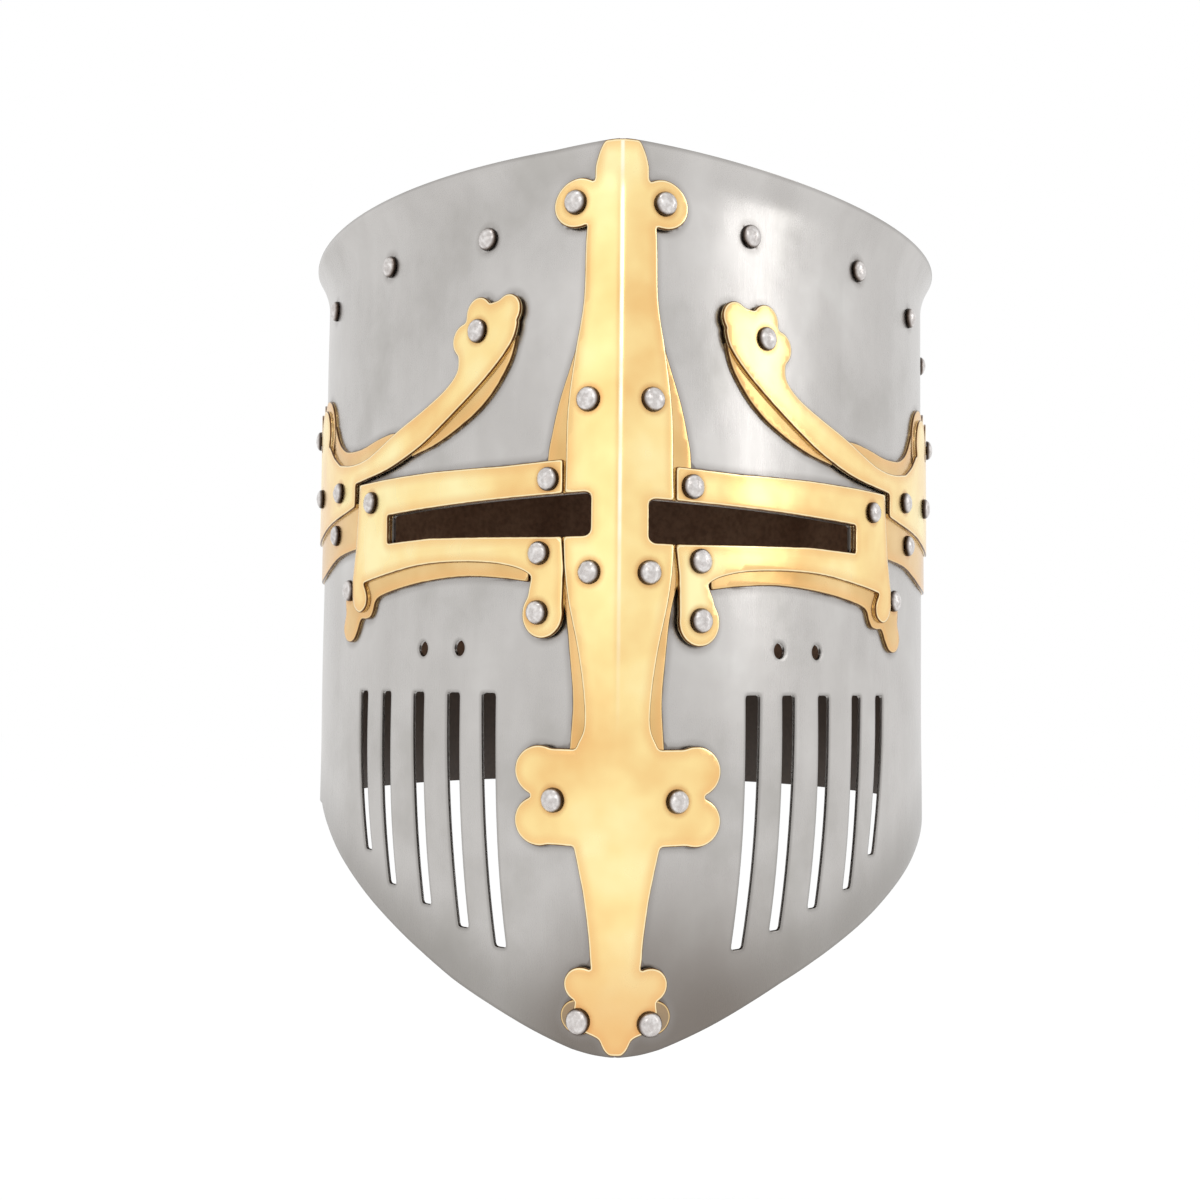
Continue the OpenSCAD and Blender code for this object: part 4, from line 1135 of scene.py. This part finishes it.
def rivet_tree():
    tree, given = new_tree("set_rivets", {
        "Head Width": HEAD_WIDTH * MM, "Head Height": HEAD_HEIGHT * MM, "Shank": SHANK * MM,
        "Tail Width": TAIL_WIDTH * MM, "Tail Height": TAIL_HEIGHT * MM, "Blow Depth": BLOW_DEPTH * MM}, 3)
    seats, seed = given["Geometry"], given["Seed"]
    facing, grip = stored(tree, "facing", "FLOAT_VECTOR"), stored(tree, "grip")
    turned = facing_to(tree, facing)
    sizes = add(tree, "FunctionNodeRandomValue", {"Min": HEAD_LEAST, "Max": HEAD_MOST, "Seed": seed},
                data_type="FLOAT_VECTOR").outputs[0]
    heads = set_on(tree, seats, dome(tree, given["Head Width"], given["Head Height"], HEAD_BULGE),
                   by_hand(tree, turned, 0.0, FULL_TURN, seed), Scale=sizes)
    pin = add(tree, "GeometryNodeMeshCylinder",
              {"Vertices": 20, "Radius": maths(tree, "MULTIPLY", given["Shank"], 0.5), "Depth": 1.0})
    length = add(tree, "ShaderNodeCombineXYZ", {"X": 1.0, "Y": 1.0, "Z": grip})
    pins = set_on(tree, pushed(tree, seats, facing, maths(tree, "MULTIPLY", grip, -0.5)), pin.outputs["Mesh"],
                  turned, Scale=length.outputs[0])
    tails = set_on(tree, pushed(tree, seats, facing, maths(tree, "MULTIPLY", grip, -1.0)),
                   dome(tree, given["Tail Width"], given["Tail Height"], TAIL_BULGE),
                   facing_to(tree, scaled(tree, facing, -1.0)))
    joined = add(tree, "GeometryNodeJoinGeometry")
    for part in (heads, pins, tails):
        tree.links.new(part, joined.inputs[0])
    real = add(tree, "GeometryNodeRealizeInstances", {0: joined.outputs[0]}).outputs[0]
    blows = add(tree, "ShaderNodeTexNoise", {"Scale": BLOWS_PER_METRE, "Detail": 1.0}).outputs[0]
    struck = maths(tree, "MULTIPLY", maths(tree, "SUBTRACT", blows, BLOW_LEVEL), stored(tree, "edge"))
    hammered = pushed(tree, real, add(tree, "GeometryNodeInputNormal").outputs[0],
                      maths(tree, "MULTIPLY", struck, given["Blow Depth"]))
    hand_out(tree, hammered, given["Material"])
    return tree


RIVETS = rivet_tree()
print(RIVETS.name, len(RIVETS.nodes), "nodes")


# %% Run a tree and keep its mesh
def grown_mesh(name, seed_mesh, tree, values):
    """Runs a tree on a mesh and returns the result as a plain mesh object."""
    host = put(name + "_host", seed_mesh)
    modifier = host.modifiers.new("tree", "NODES")
    modifier.node_group = tree
    names = {item.name: item.identifier for item in tree.interface.items_tree
             if item.item_type == "SOCKET" and item.in_out == "INPUT"}
    for label, value in values.items():
        modifier[names[label]] = value
    mesh = bpy.data.meshes.new_from_object(host.evaluated_get(bpy.context.evaluated_depsgraph_get()))
    mesh.name = name
    bpy.data.objects.remove(host)
    print(name, len(mesh.polygons), "faces")
    return put(name, mesh)


def seat_mesh(name, points, **kept):
    """Bare points in millimetres, with a number or a direction kept at each for a tree to read."""
    mesh = bpy.data.meshes.new(name)
    mesh.from_pydata((np.array(points) * MM).tolist(), [], [])
    for label, values in kept.items():
        values = np.array(values, np.float32)
        kind, field = ("FLOAT_VECTOR", "vector") if values.ndim == 2 else ("FLOAT", "value")
        mesh.attributes.new(label, kind, "POINT").data.foreach_set(field, values.ravel())
    return mesh


# %% Seats of the rivets
def both(places, drop=0.0):
    return [(-s, z) for s, z in places] + [(s, z - drop) for s, z in places]


HEAD_RIVETS = [(-14.2, RIM - 15.8), (12.9, RIM - 16.5)]
KEEL_LEFT = [(-9.4, 186), (-8.6, 136.2), (-19.8, 71.2), (-10.8, 9.9)]
KEEL_RIGHT = [(9.4, 186), (8.6, 136.2), (18.3, 71.2), (9.8, 9.5)]
FRAME_HIGH = [(22.8, 163.8), (107, 163.7), (25.7, 142.3), (26, 125)]
FRAME_LOW = [(125.3, 135.5)]
SIDE_HIGH = [(51, 211.5), (135, 170), (165, 171.5), (180, 195.5)]
SIDE_LAP = [(203, 171.5)]
SIDE_LOW = [(141, 155.7)]
SEAM = [(205, z) for z in (74, 101, 128, 213)]
LEATHER, WASHER = 2.2, 0.8


def rivet_seats(name, groups):
    """A mesh of seats. groups pairs places with the height of the head and the depth of the tail."""
    points, facings, grips = [], [], []
    for places, high, low in groups:
        for s, z in places:
            head, tail = (depth(s) if callable(depth) else depth for depth in (high, low))
            points.append(wall(s, z, head + GAP))
            facings.append([*map(float, out_from(s, z)), 0.0])
            grips.append((head - tail + 2 * GAP) * MM)
    return seat_mesh(name, points, facing=facings, grip=grips)


def behind_lap(s):
    return -SHEET if abs(s) > LAP_END else 0.0


def through_band(s):
    return float(-wall_depth(s) - STEEL - GAP - LEATHER)


def through_washer(s):
    return through_band(s) - GAP - WASHER


RIVET_GROUPS = {
    "rim": [(RIM_RIVETS, behind_lap, through_washer)],
    "keel": [(KEEL_LEFT + KEEL_RIGHT, UPPER_HIGH, -STEEL), (HEAD_RIVETS, UPPER_HIGH, through_band)],
    "frame": [(both(FRAME_HIGH, RIGHT_DROP), UPPER_HIGH, -STEEL),
              (both(FRAME_LOW, RIGHT_DROP), UNDER_HIGH, -STEEL)],
    "side": [(both(SIDE_HIGH, RIGHT_DROP), UPPER_HIGH, -STEEL),
             (both(SIDE_LAP, RIGHT_DROP), UPPER_HIGH, -STEEL - SHEET),
             (both(SIDE_LOW, RIGHT_DROP), UNDER_HIGH, -STEEL)],
    "seam": [(both(SEAM), 0.0, -STEEL - SHEET)],
}
for number, (name, groups) in enumerate(RIVET_GROUPS.items()):
    made = grown_mesh(f"{name}_rivets_hammered", rivet_seats(name, groups), RIVETS,
                      {"Seed": number + 3, "Material": RIVET_SKIN,
                       "Head Height": (EAR_HEAD_HEIGHT if name in ("side", "seam") else HEAD_HEIGHT) * MM})
    wear(made, "rivet", [f"{name}_rivets"])

# %% Distance to the corners and the rivets, for dirt and painted shade
def ring_round(s, z):
    turn = np.arange(16) * math.pi / 8
    return np.stack([s + HEAD_WIDTH / 2 * np.cos(turn), z + HEAD_WIDTH / 2 * np.sin(turn)], 1)


def places_of(*names):
    return [place for name in names for group in RIVET_GROUPS[name] for place in group[0]]


corner_points = np.vstack([*OUTLINES, *[ring_round(s, z) for s, z in places_of("rim", "seam")]])
CORNERS = KDTree(len(corner_points))
for i, (s, z) in enumerate(corner_points):
    CORNERS.insert((s, z, 0), i)
CORNERS.balance()
CORNER_REACH = 12
for name in ("front_plate_left_steel", "front_plate_right_steel", "back_plate_steel"):
    places = SPREAD[name]
    away = np.array([CORNERS.find((s, z, 0))[2] for s, z in zip(fold(places[:, 0]), places[:, 1])])
    mark(bpy.data.objects[name], "near_corner", np.minimum(away, CORNER_REACH))
    print(name, "grime on", round(float((away < 3).mean() * 100)), "% of its points")
SEATS = np.array(places_of("keel", "frame", "side"))
for name in [n for n in SPREAD if n.endswith("_brass")]:
    gaps = SPREAD[name][:, None, :] - SEATS
    mark(bpy.data.objects[name], "seat", np.minimum(np.sqrt((gaps ** 2).sum(2)).min(1), CORNER_REACH))
print("rivet seats in brass", len(SEATS))

# %% [markdown]
# ## The liner
#
# A leather band runs round inside the flange, held by the rim rivets over washers, and eight tongues are sewn to
# it and drawn together over the head by a lace. Nothing of it shows from the front, but it is the first thing
# one sees from below. The band is a section swept round the wall, and each tongue a strip that leans inward.

# %% Band and tongues
BAND_TOP = CROWN_EDGE - STEEL - 1
BAND_HEIGHT, BAND_EASE, BAND_SLIGHT = 32.0, 0.6, 0.18
TONGUE_HALF, TONGUE_TIP, TONGUE_DROP, TONGUE_SEAM, TONGUE_PRESS = 31.0, 0.12, 17.0, 11.0, 0.3
TONGUE_SEWN, TONGUE_CURVE, TONGUE_NARROWING = 0.2, 2.2, 0.1
TONGUES = [2 * HALF_GIRTH * (k + 0.5) / 8 for k in range(8)]
TONGUE_FOOT = BAND_TOP - BAND_HEIGHT + 2
TONGUE_BEND = TONGUE_FOOT + TONGUE_SEAM
TONGUE_TOP = CROWN_TOP - TONGUE_DROP


def band_face(s, depth):
    """The plan of the leather, at a depth into it from its side by the steel."""
    return ring_at(s, STEEL + GAP + depth, 1.0, FLARE_START - 20)[..., :2]


def leather_band():
    """A section with eased corners, swept round the helm."""
    ease, slight, low, high = BAND_EASE, BAND_SLIGHT, BAND_TOP - BAND_HEIGHT, BAND_TOP
    section = [(0, low + ease), (0, high - ease), (slight, high - slight), (ease, high), (LEATHER - ease, high),
               (LEATHER - slight, high - slight), (LEATHER, high - ease), (LEATHER, low + ease),
               (LEATHER - slight, low + slight), (LEATHER - ease, low), (ease, low), (slight, low + slight)]
    return ring_skin([np.column_stack([band_face(ROUND_THE_HELM, depth), np.full(len(ROUND_THE_HELM), z)])
                      for depth, z in section], whole=True)


def tongue_grid(middle):
    """Rows of points up one tongue's outer face, with its tip rounded."""
    across = np.linspace(-1, 1, 13)
    rows = []
    for t in np.linspace(0, 1, 34):
        if t < TONGUE_SEWN:
            u, z = 1.0, TONGUE_FOOT + TONGUE_SEAM * t / TONGUE_SEWN
        else:
            u = 1 + (TONGUE_TIP - 1) * (t - TONGUE_SEWN) / (1 - TONGUE_SEWN)
            z = TONGUE_BEND + (TONGUE_TOP - TONGUE_BEND) * (1 - u ** TONGUE_CURVE)
        narrow = 1 - TONGUE_NARROWING * min(1, max(0, t - 0.25) * 3)
        base = band_face(middle + TONGUE_HALF * across * narrow, LEATHER + GAP)
        drawn = DOME_CENTRE + (base - DOME_CENTRE) * u
        rows.append(np.column_stack([drawn, np.full(len(across), z)]))
    return np.array(rows)


def grid_normals(grid):
    along = np.gradient(grid, axis=0)
    across = np.gradient(grid, axis=1)
    normal = np.cross(across, along)
    return normal / np.linalg.norm(normal, axis=2, keepdims=True)


def leather_tongue(middle):
    """Closed rings up one tongue, with a cap on each end."""
    outer = tongue_grid(middle)
    inner = outer - grid_normals(outer) * (LEATHER - TONGUE_PRESS)
    verts, faces = ring_skin([np.vstack([out, back[::-1]]) for out, back in zip(outer, inner)])
    count = 2 * outer.shape[1]
    end = len(verts) - count
    for c in range(outer.shape[1] - 1):
        foot = (c, count - 1 - c, count - 2 - c, c + 1)
        faces += [foot, tuple(end + i for i in foot[::-1])]
    return verts, faces


liner = mesh_object("liner_leather", *together([leather_band(), *map(leather_tongue, TONGUES)]), 40)
wear(liner, "leather", ["liner"], LEATHER_SKIN)
print("liner", len(liner.data.polygons), "faces")

# %% [markdown]
# ## Lace, stitches and washers
#
# The lace is two rawhide strands laid round each other, closed to a ring over the tongues' tips. Each tongue is
# sewn to the band with two rows of waxed thread, which is again one small shape set many times, so a second tree
# sews it. The washers under the rivet tails are right as they come, and only get their finish.

# %% Crown lace
LACE, LACE_RING, LACE_TURNS, LACE_STEPS, LACE_SIDES = 3.0, 19.0, 23, 276, 8


def strand(start, height):
    """A strand laid round the lace's middle line, closed to a ring."""
    turn = np.arange(LACE_STEPS) * 2 * math.pi / LACE_STEPS
    around = np.arange(LACE_SIDES)[:, None] * 2 * math.pi / LACE_SIDES
    lay = LACE_TURNS * turn + start
    reach = LACE_RING + LACE / 4 * (np.cos(lay) + np.cos(around))
    rise = height + LACE / 4 * (np.sin(lay) + np.sin(around))
    return ring_skin(np.stack([DOME_CENTRE[0] + reach * np.cos(turn), DOME_CENTRE[1] + reach * np.sin(turn), rise],
                              -1), whole=True)


strands = [strand(start, TONGUE_TOP + LACE / 2 + GAP) for start in (0, math.pi)]
lace = mesh_object("crown_lace_twisted", *together(strands), 80)
wear(lace, "leather", ["crown_lace"], LACE_SKIN)
print("lace", len(lace.data.polygons), "faces")

# %% Stitches
STITCH, THREAD = 3.4, 0.9
STITCH_ROWS, STITCH_REACH, STITCH_STEP, STITCH_TILT = [3.0, 7.5], 27.0, 4.5, 0.12


def sewing_tree():
    tree, given = new_tree("sew_stitches", {"Stitch Length": STITCH * MM, "Thread": THREAD * MM}, 5)
    raised = facing_to(tree, stored(tree, "facing", "FLOAT_VECTOR"))
    turned = add(tree, "FunctionNodeAlignRotationToVector",
                 {"Rotation": raised, "Vector": stored(tree, "run", "FLOAT_VECTOR")}, axis="X", pivot_axis="Z")
    bead = add(tree, "GeometryNodeMeshUVSphere", {"Segments": 8, "Rings": 5, "Radius": 0.5})
    size = add(tree, "ShaderNodeCombineXYZ", {"X": given["Stitch Length"], "Y": given["Thread"],
                                              "Z": given["Thread"]})
    laid = set_on(tree, given["Geometry"], bead.outputs["Mesh"],
                  by_hand(tree, turned.outputs[0], -STITCH_TILT, STITCH_TILT, given["Seed"]), Scale=size.outputs[0])
    real = add(tree, "GeometryNodeRealizeInstances", {0: laid})
    hand_out(tree, real.outputs[0], given["Material"])
    return tree


def stitch_seats():
    points, facings, runs = [], [], []
    for middle in TONGUES:
        for row in STITCH_ROWS:
            for s in middle + np.arange(-STITCH_REACH, STITCH_REACH + 0.1, STITCH_STEP):
                nx, ny = map(float, out_from(s, FLARE_START - 20))
                points.append([*band_face(np.array([s]), 2 * LEATHER + GAP - TONGUE_PRESS)[0], TONGUE_FOOT + row])
                facings.append((-nx, -ny, 0.0))
                runs.append((-ny, nx, 0.0))
    return seat_mesh("stitches", points, facing=facings, run=runs)


stitches = grown_mesh("liner_stitches", stitch_seats(), sewing_tree(), {"Material": THREAD_SKIN})
stitches.data.materials.clear()
stitches.data.materials.append(THREAD_SKIN)
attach(stitches, BODY)

# %% Washers
for place in frame["nodes"]["rim_washers"].material_slots:
    place.material = WASHER_SKIN
print("washers", [m.name for m in frame["nodes"]["rim_washers"].data.materials])

# %% [markdown]
# ## Studio
#
# The photograph is a helm on plain white. The world is white at strength 1, so a colour renders about as it is
# written, and soft boxes at the sides give the sheet its broad highlights. The floor lies well below, as the helm
# is held up in the photograph.

# %% Floor, world and lamps
FLOOR_Z, FLOOR_REACH = -0.25, 8
LAMPS = {"key": ((1.36, -0.28, 0.52), (0, -0.1, 0.17), (0.22, 0.66), 0.92),
         "fill": ((-1.1, -1.15, 0.5), (0, -0.1, 0.15), (0.7, 0.7), 0.5),
         "sparkle": ((-0.3, -0.8, 1.7), (0, -0.1, 0.15), (0.22, 0.22), 1.4),
         "ridge": ((0.12, -1.5, 0.75), (0, -0.13, 0.16), (0.5, 0.5), 1.2)}


def pale_floor():
    mesh = bpy.data.meshes.new("floor")
    signs = [(-1, -1), (1, -1), (1, 1), (-1, 1)]
    mesh.from_pydata([(x * FLOOR_REACH, y * FLOOR_REACH, FLOOR_Z) for x, y in signs], [], [(0, 1, 2, 3)])
    floor = put("floor", mesh)
    material, tree = new_material("pale_floor")
    shader = add(tree, "ShaderNodeBsdfDiffuse", {"Color": colour("#FFFFFF")})
    add(tree, "ShaderNodeOutputMaterial", {"Surface": shader.outputs[0]})
    mesh.materials.append(material)


def soft_box(name, place, aim, size, power):
    data = bpy.data.lights.new(name, "AREA")
    data.shape = "RECTANGLE"
    data.size, data.size_y = size
    data.energy = power
    lamp = put(name, data)
    lamp.location = place
    lamp.rotation_mode = "QUATERNION"
    lamp.rotation_quaternion = (Vector(aim) - Vector(place)).to_track_quat("-Z", "Y")


world = bpy.data.worlds.new("studio")
bpy.context.scene.world = world
world.use_nodes = True
world.node_tree.nodes.clear()
air = add(world.node_tree, "ShaderNodeBackground", {"Color": (1, 1, 1, 1), "Strength": 1.0})
add(world.node_tree, "ShaderNodeOutputWorld", {"Surface": air.outputs[0]})
pale_floor()
for name, settings in LAMPS.items():
    soft_box(name, *settings)
bpy.context.scene.view_settings.view_transform = "Standard"
print("floor at", FLOOR_Z, "lamps", list(LAMPS))
